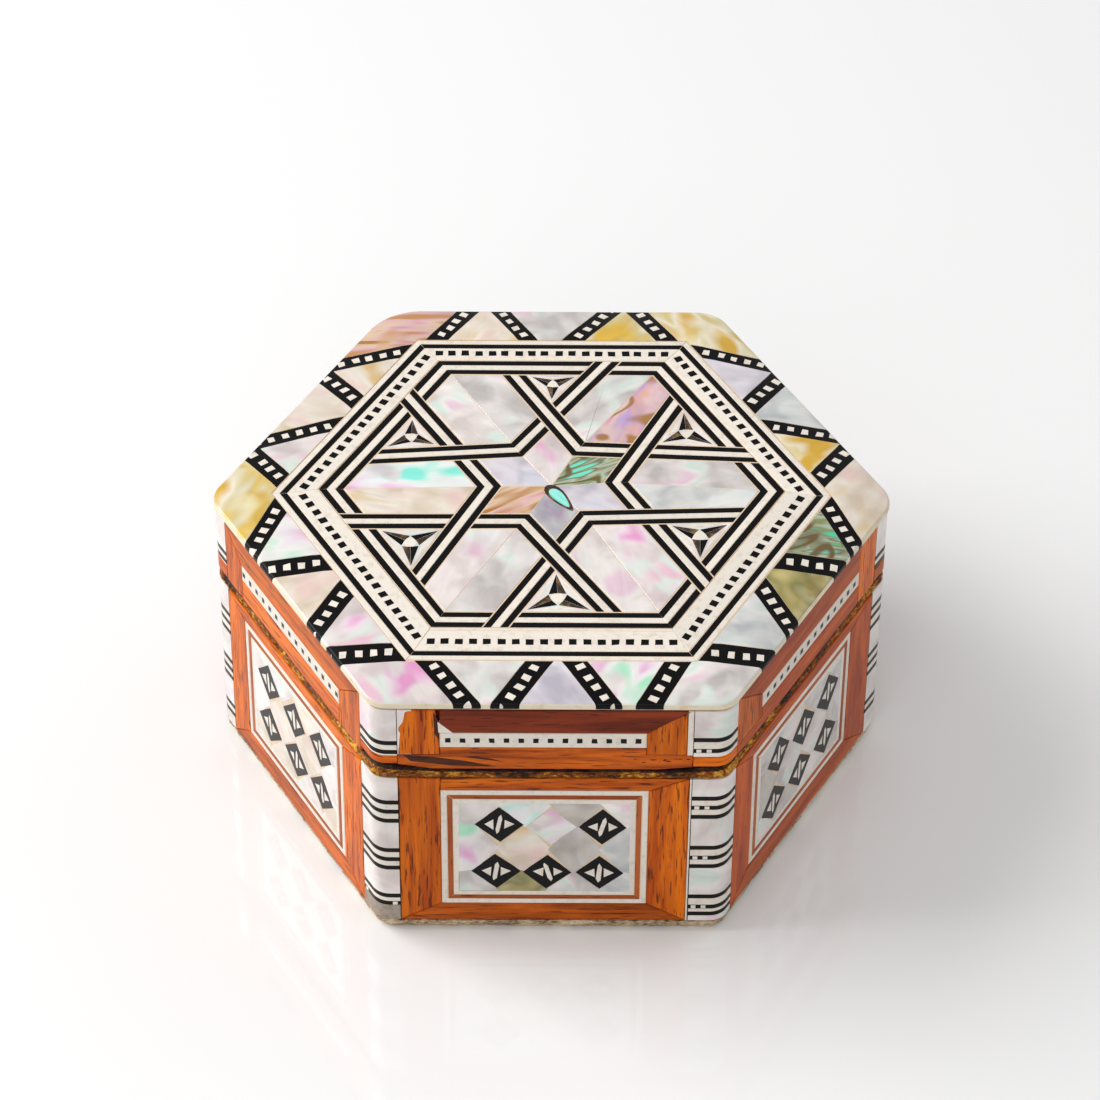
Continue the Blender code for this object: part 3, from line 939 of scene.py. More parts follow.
@dataclass
class StarField:
    """The field inside the dotted frame: interlaced bands, long cells, small triangles and the star."""

    outline: Outline
    plate_bottom: float
    star_corners: tuple[Point, ...] = (
        *((9.8, 2.9), (4.1, 10.6), (-5.4, 10.3)),
        *((-9.5, 1.8), (-4.3, -6.1), (5.2, -5.3)),
    )
    star_middle: Point = (0.0, 1.9)
    # How far the bands before and after each long cell lean from its direction, in degrees
    leans: tuple[Point, ...] = ((2.2, -2.8), (3.5, -3.6), (-0.4, 1.3), (4.6, 0.4), (3.6, 1.0), (2.6, -0.1))
    shift: float = 1.0
    frame_flats: float = 28.9
    bed_flats: float = 30.56
    band_half: float = 1.6
    line_black: float = 1.03
    line_gap: float = 0.04
    halves_before: tuple[Stock, ...] = stocks("blue arc silver sea pink white")
    halves_after: tuple[Stock, ...] = stocks("silver silver white cream silver pink")
    rhombs: tuple[Stock, ...] = stocks("abalone pink lilac tan dusk lilac")

    def frame_line(self, side: int) -> Line:
        """The centre line of the frame's band along a side."""
        start = self.outline.corner(side % 6, self.frame_flats, self.shift)
        return Line(start, (side % 6 + 0.5) * 60 + 90)

    def band(self, cell: int, towards: int) -> Line:
        """The centre line of the band before (-1) or after (+1) a long cell, from the star outwards."""
        lean = self.leans[cell % 6][0 if towards < 0 else 1]
        return Line(self.star_corners[(cell + towards) % 6], (cell % 6) * 60 + lean)

    def tip(self, side: int) -> Point:
        """Where two bands cross at a tip of the star."""
        return self.band(side + 1, -1).meet(self.band(side, 1))

    def lay(self, piece: Marquetry, line: Line, *ends: Line) -> None:
        """Lays the black, white and black line of a band.

        Args:
            piece: The piece that it belongs to.
            line: The middle of the band.
            ends: The lines that end it, with what is kept to their left.
        """
        inner = self.band_half - self.line_black
        white = inner - self.line_gap
        sections = ((Stock.BLACK, self.band_half, -inner), (Stock.BONE, white, white))
        for stock, right, left in (*sections, (Stock.BLACK, -inner, self.band_half)):
            shape = clip(strip(line, right, left), *ends)
            piece.tile(stock, shape, on_lid, self.outline.top, grain=line.angle, slack=0.02)

    def bands(self) -> None:
        """Lays the bands: over and under by turns, and mitred at the star's corners."""
        piece = Marquetry("interlaced_bands_of_lid")
        slab = [self.outline.corner(i, self.bed_flats, self.shift) for i in range(6)]
        bed_top = self.outline.top - BED_DEPTH
        piece.tile(Stock.MASTIC, slab, on_lid, bed_top, bed_top - self.plate_bottom)
        clear = self.band_half + MASTIC_LINE
        for i in range(6):
            over, under = self.band(i + 1, -1), self.band(i - 1, 1)
            turn = (over.angle - i * 60 + under.angle - i * 60 + 540) % 360 - 180
            mitre = Line(self.star_corners[i], i * 60 + turn / 2)
            frame, through, crossing = self.frame_line(i), self.band(i, 1), self.band(i, -1)
            self.lay(piece, over, mitre, frame.moved(clear))
            self.lay(piece, under, mitre.back(), crossing.moved(clear))
            frame_before = self.frame_line(i - 1).moved(-self.band_half)
            self.lay(piece, under, crossing.back().moved(clear), frame_before)
            start, end = (Line((0, self.shift), k * 60) for k in (i, i + 1))
            self.lay(piece, frame, start, through.back().moved(clear))
            self.lay(piece, frame, through.moved(clear), end.back())
        piece.build("black_inlay", "top_star_bands")

    def long_cells(self) -> None:
        """Sets the two halves of each long cell, parted along its middle."""
        clear = self.band_half + MASTIC_LINE
        for i, corner in enumerate(CORNERS):
            piece = Marquetry(f"long_pearl_cell_{corner}")
            frame_before, frame_after = self.frame_line(i - 1), self.frame_line(i)
            far_corner = frame_before.meet(frame_after)
            cell = [self.star_corners[i], self.tip((i - 1) % 6), self.band(i, -1).meet(frame_before)]
            cell += [far_corner, self.band(i, 1).meet(frame_after), self.tip(i)]
            split = Line.between(self.star_corners[i], far_corner)
            halves = ((self.halves_before[i], split.back()), (self.halves_after[i], split))
            for stock, cut in halves:
                grain = split.angle + piece.hand.uniform(-35, 35)
                half = clip(inset(cell, clear), cut.moved(0.05))
                piece.tile(stock, half, on_lid, self.outline.top, grain=grain)
            piece.build("pearl", f"top_cell_{corner}")

    def star(self) -> None:
        """Sets the six rhombs of the star, and the bright drop-shaped eye of the front one."""
        piece = Marquetry("pearl_star_of_lid")
        edge = self.band_half + MASTIC_LINE
        for i, stock in enumerate(self.rhombs):
            rhomb = [self.star_middle, self.star_corners[i], self.tip(i), self.star_corners[(i + 1) % 6]]
            shape = inset(rhomb, (0.04, edge, edge, 0.04))
            piece.tile(stock, shape, on_lid, self.outline.top, grain=i * 60 + 30)
        eye = Line((1.25, -0.85), -56)
        turns = [2 * math.pi * step / 20 for step in range(20)]
        for stock, size, rise in ((Stock.HORN, 1.42, 0.004), (Stock.TURQUOISE, 1.0, 0.008)):
            long, wide = 2.5 * size, 1.15 * size
            drop = [
                eye.at(long * math.cos(t), wide * math.sin(t) * (0.75 - 0.35 * math.cos(t))) for t in turns
            ]
            piece.tile(stock, drop, on_lid, self.outline.top + rise, ease=FINE_EASE)
        piece.build("pearl", "top_star")

    def triangle(self, i: int) -> None:
        """Sets a small triangle: three horn kites around a bone disc, with bone between them.

        Args:
            i: The number of its side.
        """
        piece = Marquetry(f"small_triangle_{SIDES[i]}")
        top = self.outline.top
        band_ends = [band.meet(self.frame_line(i)) for band in (self.band(i, 1), self.band(i + 1, -1))]
        hole = inset([self.tip(i), *band_ends], self.band_half + MASTIC_LINE)
        middle = tuple(sum(p[k] for p in hole) / 3 for k in (0, 1))
        tips = inset(hole, 0.34)
        piece.tile(Stock.WHITE, hole, on_lid, top - 0.01)
        reach = math.dist(middle, tips[0])
        disc, shoulder = reach * 0.19, reach * 0.3
        angles = [Line.between(middle, tip).angle for tip in tips]
        for k, (tip, angle) in enumerate(zip(tips, angles)):
            right, left = (Line(middle, angle + turn).at(shoulder) for turn in (-58, 58))
            inner = Line(middle, angle).at(disc)
            piece.tile(Stock.HORN, [inner, right, tip], on_lid, top, ease=FINE_EASE)
            piece.tile(Stock.BLACK, [inner, tip, left], on_lid, top, ease=FINE_EASE)
            between = [Line(middle, angle + 60).at(shoulder * 1.15), tip, tips[(k + 1) % 3]]
            piece.tile(Stock.BONE, inset(between, 0.1), on_lid, top, ease=0.03)
        ring = [Line(middle, angles[0] + 30 + 60 * step).at(disc * 1.15) for step in range(6)]
        piece.tile(Stock.BONE, ring, on_lid, top + 0.012, ease=0.03)
        piece.build("bone", f"top_triangle_{SIDES[i]}")

    def build(self) -> None:
        """Lays the whole field."""
        self.bands()
        self.long_cells()
        self.star()
        for i in range(6):
            self.triangle(i)


@dataclass
class DottedFrame:
    """The hexagonal frame of the lid: a white line, a black line and bone with black squares."""

    outline: Outline
    plate_bottom: float
    outer: float = 36.6
    white_line: float = 1.0
    black_line: float = 0.98
    square: float = 1.2
    pitch: float = 2.08
    per_side: int = 18
    squares_flats: float = 33.0
    squares_shift: float = 0.4
    parting_line: float = -30.2
    inner: float = 30.6
    inner_shift: float = 1.0

    def squares(self, piece: Marquetry, side: int) -> None:
        """Sets the black squares of a side.

        Args:
            piece: The piece that they belong to.
            side: The number of the side.
        """
        flats, shift = self.squares_flats, self.squares_shift
        start, end = (self.outline.corner(k, flats, shift) for k in (side, side + 1))
        line = Line.between(start, end)
        half = self.square / 2
        for k in range(self.per_side):
            middle = math.dist(start, end) / 2 + (k - (self.per_side - 1) / 2) * self.pitch
            along, left = middle + piece.hand.gauss(0, 0.05), piece.hand.gauss(0, 0.03)
            shape = [line.at(along + a * half, left + b * half) for a, b in AROUND]
            piece.tile(Stock.BLACK, shape, on_lid, self.outline.top + 0.01, slack=0.035, ease=FINE_EASE)

    def build(self) -> None:
        """Lays the courses and the squares of all six sides."""
        piece = Marquetry("frame_with_black_squares")
        top = self.outline.top
        black_outer = self.outer - self.white_line
        bone_outer = black_outer - self.black_line
        for i, name in enumerate(SIDES):
            grain = (i + 0.5) * 60 + 90
            bed = inset(self.outline.course(i, self.outer, self.inner, self.inner_shift), 0.01)
            piece.tile(Stock.MASTIC, bed, on_lid, top - BED_DEPTH, top - BED_DEPTH - self.plate_bottom)
            white = inset(self.outline.course(i, self.outer - 0.12, black_outer), 0.03)
            piece.tile(Stock.BONE, white, on_lid, top, grain=grain, slack=0.02)
            black = inset(self.outline.course(i, black_outer, bone_outer), 0.02)
            piece.tile(Stock.BLACK, black, on_lid, top, grain=grain, slack=0.02)
            bone = inset(self.outline.course(i, bone_outer, self.inner + 0.06, self.inner_shift), 0.05)
            if name == "front":
                parting = Line((0, self.parting_line), 0)
                piece.tile(Stock.BONE, clip(bone, parting.moved(0.05)), on_lid, top, grain=grain)
                bone = clip(bone, parting.back().moved(0.05))
            piece.tile(Stock.BONE, bone, on_lid, top, grain=grain, slack=0.02)
            self.squares(piece, i)
        piece.build("bone", "top_dotted_frame")


@dataclass(frozen=True)
class BorderSide:
    """The border of a side: each strip's place, lean and width, and the corner's and the triangles' shell."""

    strips: tuple[tuple[float, float, float], ...]
    shells: tuple[Stock, ...]


@dataclass
class Border:
    """The border of the plate: black strips with white squares between triangles of shell."""

    outline: Outline
    plate_bottom: float
    shell_low: float
    inner: float = 36.62
    beyond: float = 47.0
    joint: float = 0.07
    first_square: float = 1.6
    square_along: float = 1.02
    square_across: float = 1.3
    pitch: float = 2.2
    SIDES: ClassVar[tuple[BorderSide, ...]] = (
        BorderSide(
            ((-17.1, 63, 3.5), (-2.5, 129, 2.9), (2.7, 63, 3.4), (18.3, 134, 2.7)),
            stocks("cream gold blue lilac"),
        ),
        BorderSide(
            ((-18.1, 60, 3.0), (-3.3, 126, 3.0), (3.7, 61, 2.7), (18.1, 121, 3.0)),
            stocks("gold gold silver cream"),
        ),
        BorderSide(
            ((-18.0, 46, 2.8), (-3.5, 113, 3.3), (2.5, 43, 2.9), (17.9, 114, 3.3)),
            stocks("tan cream cream pink"),
        ),
        BorderSide(
            ((-18.1, 53, 3.1), (-3.2, 114, 3.6), (3.2, 59, 3.6), (19.2, 120, 3.8)),
            stocks("gold fire cream pink"),
        ),
        BorderSide(
            ((-18.0, 55, 3.2), (-1.7, 121, 3.5), (3.3, 59, 3.2), (18.4, 117, 3.5)),
            stocks("pink silver lilac fire"),
        ),
        BorderSide(
            ((-18.8, 64, 3.8), (-1.9, 123, 3.1), (4.2, 66, 3.7), (19.2, 126, 3.0)),
            stocks("silver blue olive abalone"),
        ),
    )

    def strip_line(self, side: int, number: int) -> Line:
        """The middle of a strip, from the frame outwards, in plan."""
        start, lean, _ = self.SIDES[side].strips[number]
        return Line(Side(side).plan(start, self.inner), Side(side).angle + 90 - lean)

    def edge(self, side: int, number: int, towards: int) -> Line:
        """The edge of the shell beside a strip: after the strip (+1) or before it (-1)."""
        half = self.SIDES[side].strips[number][2] / 2 + self.joint
        return self.strip_line(side, number).moved(towards * half)

    def inner_line(self, side: int) -> Line:
        """The inner edge of the border, with the frame to its left."""
        return Line(Side(side).plan(0, self.inner + self.joint), Side(side).angle + 90)

    def strip_tiles(
        self,
        piece: Marquetry,
        side: int,
        number: int,
        shell_planes: Sequence[Plane],
        strip_planes: Sequence[Plane],
    ) -> None:
        """Lays a black strip and the white squares in it.

        Args:
            piece: The piece that they belong to.
            side: The number of the side.
            number: The number of the strip.
            shell_planes: The planes that the shell is sanded to.
            strip_planes: The planes that the strip is sanded to.
        """
        top = self.outline.top
        half = self.SIDES[side].strips[number][2] / 2
        line = self.strip_line(side, number)
        start = Line(line.point, line.angle - 90).moved(-3.0)
        shape = clip(strip(line, half, half, 60), self.inner_line(side).back(), start)
        piece.sanded_tile(Stock.BLACK, shape, self.shell_low, top, strip_planes, line.angle)
        a, b = self.square_along / 2, min(self.square_across, half * 0.8) / 2
        draw = piece.hand.gauss
        for k in range(6):
            along, across = self.first_square + k * self.pitch + draw(0, 0.08), draw(0, 0.08)
            square = [
                line.at(along + way * a + draw(0, 0.05), across + up * b + draw(0, 0.06))
                for way, up in AROUND
            ]
            piece.sanded_tile(Stock.BONE, square, top - 1.6, top, shell_planes)

    def build(self) -> None:
        """Lays the border of every side."""
        shell_planes, strip_planes = self.outline.planes(0.0), self.outline.planes(0.025)
        bed_planes = replace(self.outline, overhang=-0.2).planes(BED_DEPTH)
        top = self.outline.top
        for i, name in enumerate(SIDES):
            piece = Marquetry(f"pearl_border_{name}")
            region = self.outline.course(i, self.beyond, self.inner)
            piece.sanded_tile(Stock.MASTIC, region, self.plate_bottom, top, bed_planes)
            for number in range(4):
                self.strip_tiles(piece, i, number, shell_planes, strip_planes)
            corner_shell, *shells = self.SIDES[i].shells
            for k, stock in enumerate(shells):
                ends = (self.edge(i, k, 1), self.edge(i, k + 1, -1).back(), self.inner_line(i).back())
                grain = Side(i).angle + piece.hand.choice((0, 30, 150))
                shape = clip(region, *ends)
                piece.sanded_tile(stock, shape, self.shell_low, top, shell_planes, grain, Stock.EDGE)
            shape = self.corner_outline(i)
            piece.sanded_tile(corner_shell, shape, self.shell_low, top, shell_planes, i * 60 + 60, Stock.EDGE)
            piece.build("pearl", f"top_border_{name}")

    def corner_outline(self, corner: int) -> list[Point]:
        """The shell at a corner, between the last strip of one side and the first of the next.

        Args:
            corner: The number of the corner.

        Returns:
            Its outline, past the edge of the box.
        """
        before = (corner - 1) % 6
        last, first = self.edge(before, 3, 1), self.edge(corner, 0, -1)
        inner_before, inner_after = self.inner_line(before), self.inner_line(corner)
        way = self.inner - self.beyond
        outer = self.outline.corner(corner, self.beyond)
        outline = [last.meet(inner_before.moved(way)), outer, first.meet(inner_after.moved(way))]
        start = last.meet(first)
        if min(inner_before.to_left(start), inner_after.to_left(start)) < 0:
            return [*outline, start]
        return [*outline, first.meet(inner_after), inner_before.meet(inner_after), last.meet(inner_before)]


@dataclass(frozen=True)
class PanelLayout:
    """The inlay of one side: its window, where its diamonds lie and how they lean, and its shells."""

    window: Area
    upper: tuple[Point, ...] = ((-8.2, 22.5), (0.0, 22.9), (8.2, 22.5))
    lower: tuple[Point, ...] = ((-8.6, 13.6), (-0.4, 13.6), (7.8, 13.6))
    leans: tuple[float, ...] = (4.0, -3.0, 5.0, 3.0, -4.0, 6.0)
    shells: tuple[Stock, ...] = stocks("silver white grey")
    plain: int | None = None


@dataclass
class InlaidPanel:
    """The panel of a side: three thin frames around a field of black diamonds and shell."""

    side: Side
    layout: PanelLayout
    face: float
    line: float = 0.9
    gap: float = 0.06
    under: float = 0.24
    diamond_wide: float = 3.68
    diamond_high: float = 3.6

    def diamond(self, centre: Point, more_wide: float = 0.0, more_high: float = 0.0) -> list[Point]:
        """The corners of a diamond: left, bottom, right and top."""
        (a, b), wide, high = centre, self.diamond_wide + more_wide, self.diamond_high + more_high
        return [(a - wide, b), (a, b - high), (a + wide, b), (a, b + high)]

    def frame(self, piece: Marquetry, reach: float, stock: Stock) -> float:
        """Lays one thin mitred frame.

        Args:
            piece: The piece that it belongs to.
            reach: How far in from the window it starts.
            stock: What it is cut from.

        Returns:
            How far in the next one starts.
        """
        outer, inner = (self.layout.window.corners(far) for far in (reach + self.gap, reach + self.line))
        for k in range(4):
            j = (k + 1) % 4
            shape = inset([outer[k], outer[j], inner[j], inner[k]], 0.015)
            piece.tile(stock, shape, self.side.place, self.face, grain=90.0 if k % 2 else 0.0, slack=0.025)
        return reach + self.line

    def fields(self, reach: float) -> list[list[Point]]:
        """The shell tiles between the diamonds.

        Args:
            reach: How far in from the window the field starts.

        Returns:
            Their outlines: in the middle row, above and below it, and at the corners.
        """
        (west, south), _, (east, north), _ = self.layout.window.corners(reach)
        wide, high = self.diamond_wide, self.diamond_high
        up, down = self.layout.upper, self.layout.lower
        up_west, up_east, down_west, down_east = (
            [(a + way * wide, b) for a, b in row] for row in (up, down) for way in (-1, 1)
        )
        tops = [midway(up_east[k], up_west[k + 1]) for k in (0, 1)]
        feet = [midway(down_east[k], down_west[k + 1]) for k in (0, 1)]
        waists = [midway((a, b - high), (c, d + high)) for (a, b), (c, d) in zip(up, down)]
        left_up, right_up = (west, up[0][1] + 0.3), (east, up[2][1] + 0.3)
        left_down, right_down = (west, down[0][1] - 0.3), (east, down[2][1] - 0.3)
        made = [[waists[k], feet[k], waists[k + 1], tops[k]] for k in (0, 1)]
        made.append([left_down, down_west[0], waists[0], up_west[0], left_up])
        made.append([right_up, up_east[2], waists[2], down_east[2], right_down])
        for k in (0, 1):
            made.append([tops[k], (up[k + 1][0], north), (up[k][0], north)])
            made.append([feet[k], (down[k][0], south), (down[k + 1][0], south)])
        made.append([left_up, up_west[0], (up[0][0], north), (west, north)])
        made.append([right_up, (east, north), (up[2][0], north), up_east[2]])
        made.append([left_down, (west, south), (down[0][0], south), down_west[0]])
        made.append([right_down, down_east[2], (down[2][0], south), (east, south)])
        return made

    def motif(self, piece: Marquetry, centre: Point, lean: float) -> None:
        """Sets a black diamond with two white triangles and a slanted bar in it.

        Args:
            piece: The piece that it belongs to.
            centre: Its middle on the side.
            lean: How far the bar leans, in degrees.
        """
        place, inlaid = self.side.place, self.face + 0.02
        piece.tile(Stock.BLACK, self.diamond(centre), place, self.face + 0.012, slack=0.12)
        bar = Line(centre, 90 - lean)
        ends = ((-2.05, 0.0), (-1.55, -0.34), (1.2, -0.34), (2.05, 0.05), (1.5, 0.34), (-1.2, 0.34))
        piece.tile(Stock.BONE, [bar.at(*end) for end in ends], place, inlaid, slack=0.04, ease=FINE_EASE)
        # The left triangle's points are turned round, so that both go anticlockwise
        a, b = centre
        for way in (-1, 1):
            inner = 0.75 + piece.hand.uniform(-0.05, 0.1)
            shape = [(a + way * 2.2, b + 0.1), (a + way * inner, b + 1.0), (a + way * inner, b - 1.0)][::way]
            piece.tile(Stock.BONE, shape, place, inlaid, slack=0.07, ease=FINE_EASE)

    def build(self) -> None:
        """Lays the panel of this side."""
        piece = Marquetry(f"inlaid_panel_{self.side.name}")
        lay, place = self.layout, self.side.place
        piece.tile(Stock.MASTIC, lay.window.corners(0.02), place, self.face - BED_DEPTH, PANEL_BED)
        reach = 0.0
        for stock in (Stock.BONE, Stock.LINE_WOOD, Stock.BONE):
            reach = self.frame(piece, reach, stock)
        # The shell goes on a little under the diamonds, each tile a hair higher than the one before
        for k, shape in enumerate(self.fields(reach + 0.1)):
            stock = lay.shells[k % len(lay.shells)]
            piece.tile(stock, inset(shape, -self.under), place, self.face - 0.008 + 0.0008 * k, ease=0.03)
        for k, centre in enumerate((*lay.upper, *lay.lower)):
            if k == lay.plain:
                piece.tile(Stock.FIRE, self.diamond(centre, 0.15, 0.1), place, self.face + 0.01, grain=20)
            else:
                self.motif(piece, centre, lay.leans[k])
        piece.build("pearl", f"base_panel_{self.side.name}")


@dataclass
class SideFrame:
    """The wooden frame around a panel of the base: posts and rails, mitred or butted."""

    side: Side
    face: float
    area: Area
    window: Area
    post: Stock
    rails: tuple[Stock, Stock]
    butted: bool = False
    slip: float = 0.0

    def build(self) -> None:
        """Fits the posts and the rails, and a slip of bone where the right post falls short."""
        piece = Marquetry(f"mitred_frame_{self.side.name}")
        place = self.side.place
        left, low, high = self.area.left, self.area.low, self.area.high
        right = self.area.right - self.slip
        foot_left, foot_right, head_right, head_left = self.window.corners()
        corner = (self.window.left, high) if self.butted else (left, high)
        if self.slip:
            shape = inset(Area(right, low, self.area.right, high).corners(), 0.03)
            piece.tile(Stock.BONE, shape, place, self.face, grain=90.0, slack=0.03)
        left_post = [(left, low), foot_left, head_left, corner] + [(left, high)] * self.butted
        shapes = (
            (self.post, left_post, 90.0),
            (self.post, [foot_right, (right, low), (right, high), head_right], 90.0),
            (self.rails[0], [head_left, head_right, (right, high), corner], 0.0),
            (self.rails[1], [(left, low), (right, low), foot_right, foot_left], 0.0),
        )
        for stock, shape, grain in shapes:
            piece.tile(stock, inset(shape, 0.04), place, self.face, VENEER, grain, 0.03, 0.12)
        piece.build("varnished_wood", f"base_frame_{self.side.name}")


@dataclass(frozen=True)
class LidLayout:
    """One side of the lid: its bone strip, how far the posts' feet stand up, and its joints and rails."""

    strip: Area
    feet: Point = (2.6, 2.6)
    squares: int = 14
    butted_left: bool = False
    butted_right: bool = False
    rails: tuple[Stock, ...] = stocks("red_wood brown_wood")
    mended: bool = False


@dataclass
class LidSide:
    """One side of the lid: its wooden frame, and the bone strip with black squares in it."""

    side: Side
    layout: LidLayout
    face: float
    area: Area
    worn: Point
    pitch: float = 2.13
    square: float = 0.84
    slip: float = 0.9
    # The edge of the post that was cut round, as distances from the left end and down from the top
    ROUND_CUT: ClassVar[tuple[Point, ...]] = (
        *((1.7, 0.02), (1.15, 0.3), (0.95, 1.4), (0.75, 2.4)),
        *((0.2, 3.3), (0.1, 4.0), (0.35, 4.7), (0.3, 5.5)),
    )

    def frame(self) -> None:
        """Fits the posts and rails around the strip."""
        piece = Marquetry(f"lid_wood_frame_{self.side.name}")
        lay, place = self.layout, self.side.place
        left, low, right, high = self.area.left, self.area.low, self.area.right, self.area.high
        foot_left, foot_right = (low + foot for foot in lay.feet)
        strip_left, strip_right, head_right, head_left = lay.strip.corners()
        top_left = (lay.strip.left, high) if lay.butted_left else (left, high)
        top_right = (lay.strip.right, high) if lay.butted_right else (right, high)
        left_post = [(left, foot_left), (lay.strip.left, foot_left), head_left, top_left]
        left_post += [(left, high)] * lay.butted_left
        right_post = [(lay.strip.right, foot_right), (right, foot_right), (right, high)]
        right_post.append(top_right if lay.butted_right else head_right)
        if lay.mended:
            self.mend_posts(piece, left_post, right_post)
        worn_left, worn_right = self.worn
        lower = [(lay.strip.left, low), (lay.strip.right, low), strip_right, strip_left]
        if lay.feet[1] > 0.3:
            lower[1:3] = [(right - 5, low), (right, low + worn_right), (right, foot_right)]
            lower[4:4] = [(lay.strip.right, foot_right), strip_right]
        if lay.feet[0] > 0.3:
            lower[0:1] = [(left, low + worn_left), (left + 5, low)]
            lower += [(lay.strip.left, foot_left), (left, foot_left)]
        shapes = (
            (Stock.ORANGE_WOOD, left_post, 90.0),
            (Stock.ORANGE_WOOD, right_post, 90.0),
            (lay.rails[0], [head_left, head_right, top_right, top_left], 0.0),
            (lay.rails[1], lower, 0.0),
        )
        for stock, shape, grain in shapes:
            piece.tile(stock, inset(shape, 0.04), place, self.face, VENEER, grain, 0.02, 0.12)
        if lay.mended:
            self.mends(piece)
        piece.build("varnished_wood", f"lid_frame_{self.side.name}")

    def mend_posts(self, piece: Marquetry, left_post: list[Point], right_post: list[Point]) -> None:
        """Cuts the left post round and the right one short, and sets shell and a slip of bone there.

        Args:
            piece: The piece that they belong to.
            left_post: The outline of the left post, which is changed.
            right_post: The outline of the right post, which is changed.
        """
        left, right, high = self.area.left, self.area.right, self.area.high
        foot_left, foot_right = left_post[0][1], right_post[0][1]
        cut = [(left + out, high - down) for out, down in self.ROUND_CUT]
        left_post[-2:] = [(self.layout.strip.left - 0.6, high), *cut]
        right_post[1:3] = [(right - self.slip, foot_right), (right - self.slip, high)]
        for start, end, stock in ((left, left + 2.2, Stock.WHITE), (right - self.slip, right, Stock.BONE)):
            behind = inset(Area(start, foot_left, end, high).corners(), 0.04)
            piece.tile(stock, behind, self.side.place, self.face - 0.03, grain=90.0)

    def mends(self, piece: Marquetry) -> None:
        """Shows where the front was patched: filler beside the round-cut post, and dark heartwood below.

        Args:
            piece: The piece that they belong to.
        """
        place, face = self.side.place, self.face
        inner, top, strip_top = self.layout.strip.left, self.area.high - 0.1, self.layout.strip.high
        sliver = [(inner - 0.9, top), (inner - 0.75, strip_top)]
        sliver += [(inner - 0.1, strip_top - 1.4), (inner - 0.1, top - 2.2)]
        filler = [(inner - 0.3, strip_top + 2.3), (inner - 0.1, strip_top + 0.1)]
        filler.append((inner + 2.0, strip_top + 0.08))
        streak = [(-21.6, 37.2), (-20.6, 35.9), (-14.2, 34.9), (-7.6, 34.8), (-12.4, 36.0), (-17.4, 36.9)]
        fleck = [(-13.2, 36.9), (-9.8, 36.3), (-6.4, 35.7), (-8.4, 36.5), (-11.0, 37.0)]
        piece.tile(Stock.HEART_WOOD, sliver, place, face + 0.012, ease=FINE_EASE)
        piece.tile(Stock.BONE, filler, place, face + 0.015, slack=0.04, ease=0.03)
        for patch in (streak, fleck):
            piece.tile(Stock.HEART_WOOD, patch, place, face + 0.008, 0.3, 4.0, 0.05, 0.03)
        for k in range(9):
            a, b = 12.6 + k * 0.95 + piece.hand.gauss(0, 0.2), 36.5 + piece.hand.gauss(0, 0.3)
            speck = [(a - 0.4, b), (a, b - 0.14), (a + 0.45, b + 0.04), (a, b + 0.16)]
            piece.tile(Stock.HEART_WOOD, speck, place, face + 0.008, 0.3, 0.0, 0.05, 0.01)

    def strip(self) -> None:
        """Sets the bone strip and its black squares."""
        piece = Marquetry(f"strip_of_squares_{self.side.name}")
        lay, place, shape = self.layout, self.side.place, self.layout.strip.corners()
        piece.tile(Stock.MASTIC, shape, place, self.face - BED_DEPTH, PANEL_BED)
        piece.tile(Stock.BONE, inset(shape, 0.1), place, self.face, grain=0.0, slack=0.03)
        middle, height = midway(shape[0], shape[2])
        half, tall = self.square / 2, self.square / 2 * 1.1
        for k in range(lay.squares):
            along = middle + (k - (lay.squares - 1) / 2) * self.pitch
            square = Area(along - half, height - tall, along + half, height + tall).corners()
            piece.tile(Stock.BLACK, square, place, self.face + 0.01, slack=0.03, ease=FINE_EASE)
        piece.build("bone", f"lid_dot_strip_{self.side.name}")

    def build(self) -> None:
        """Builds the frame and the strip."""
        self.frame()
        self.strip()


@dataclass(frozen=True)
class CornerLayout:
    """One corner of the box: how far its blocks reach along the two sides, and its stripes' heights."""

    before: float
    after: float
    base_stripes: tuple[float, ...]
    lid_stripes: tuple[float, ...]
    dotted: tuple[float, ...] = ()
    broken_below: float = 0.0
    worn_up: float = 0.0


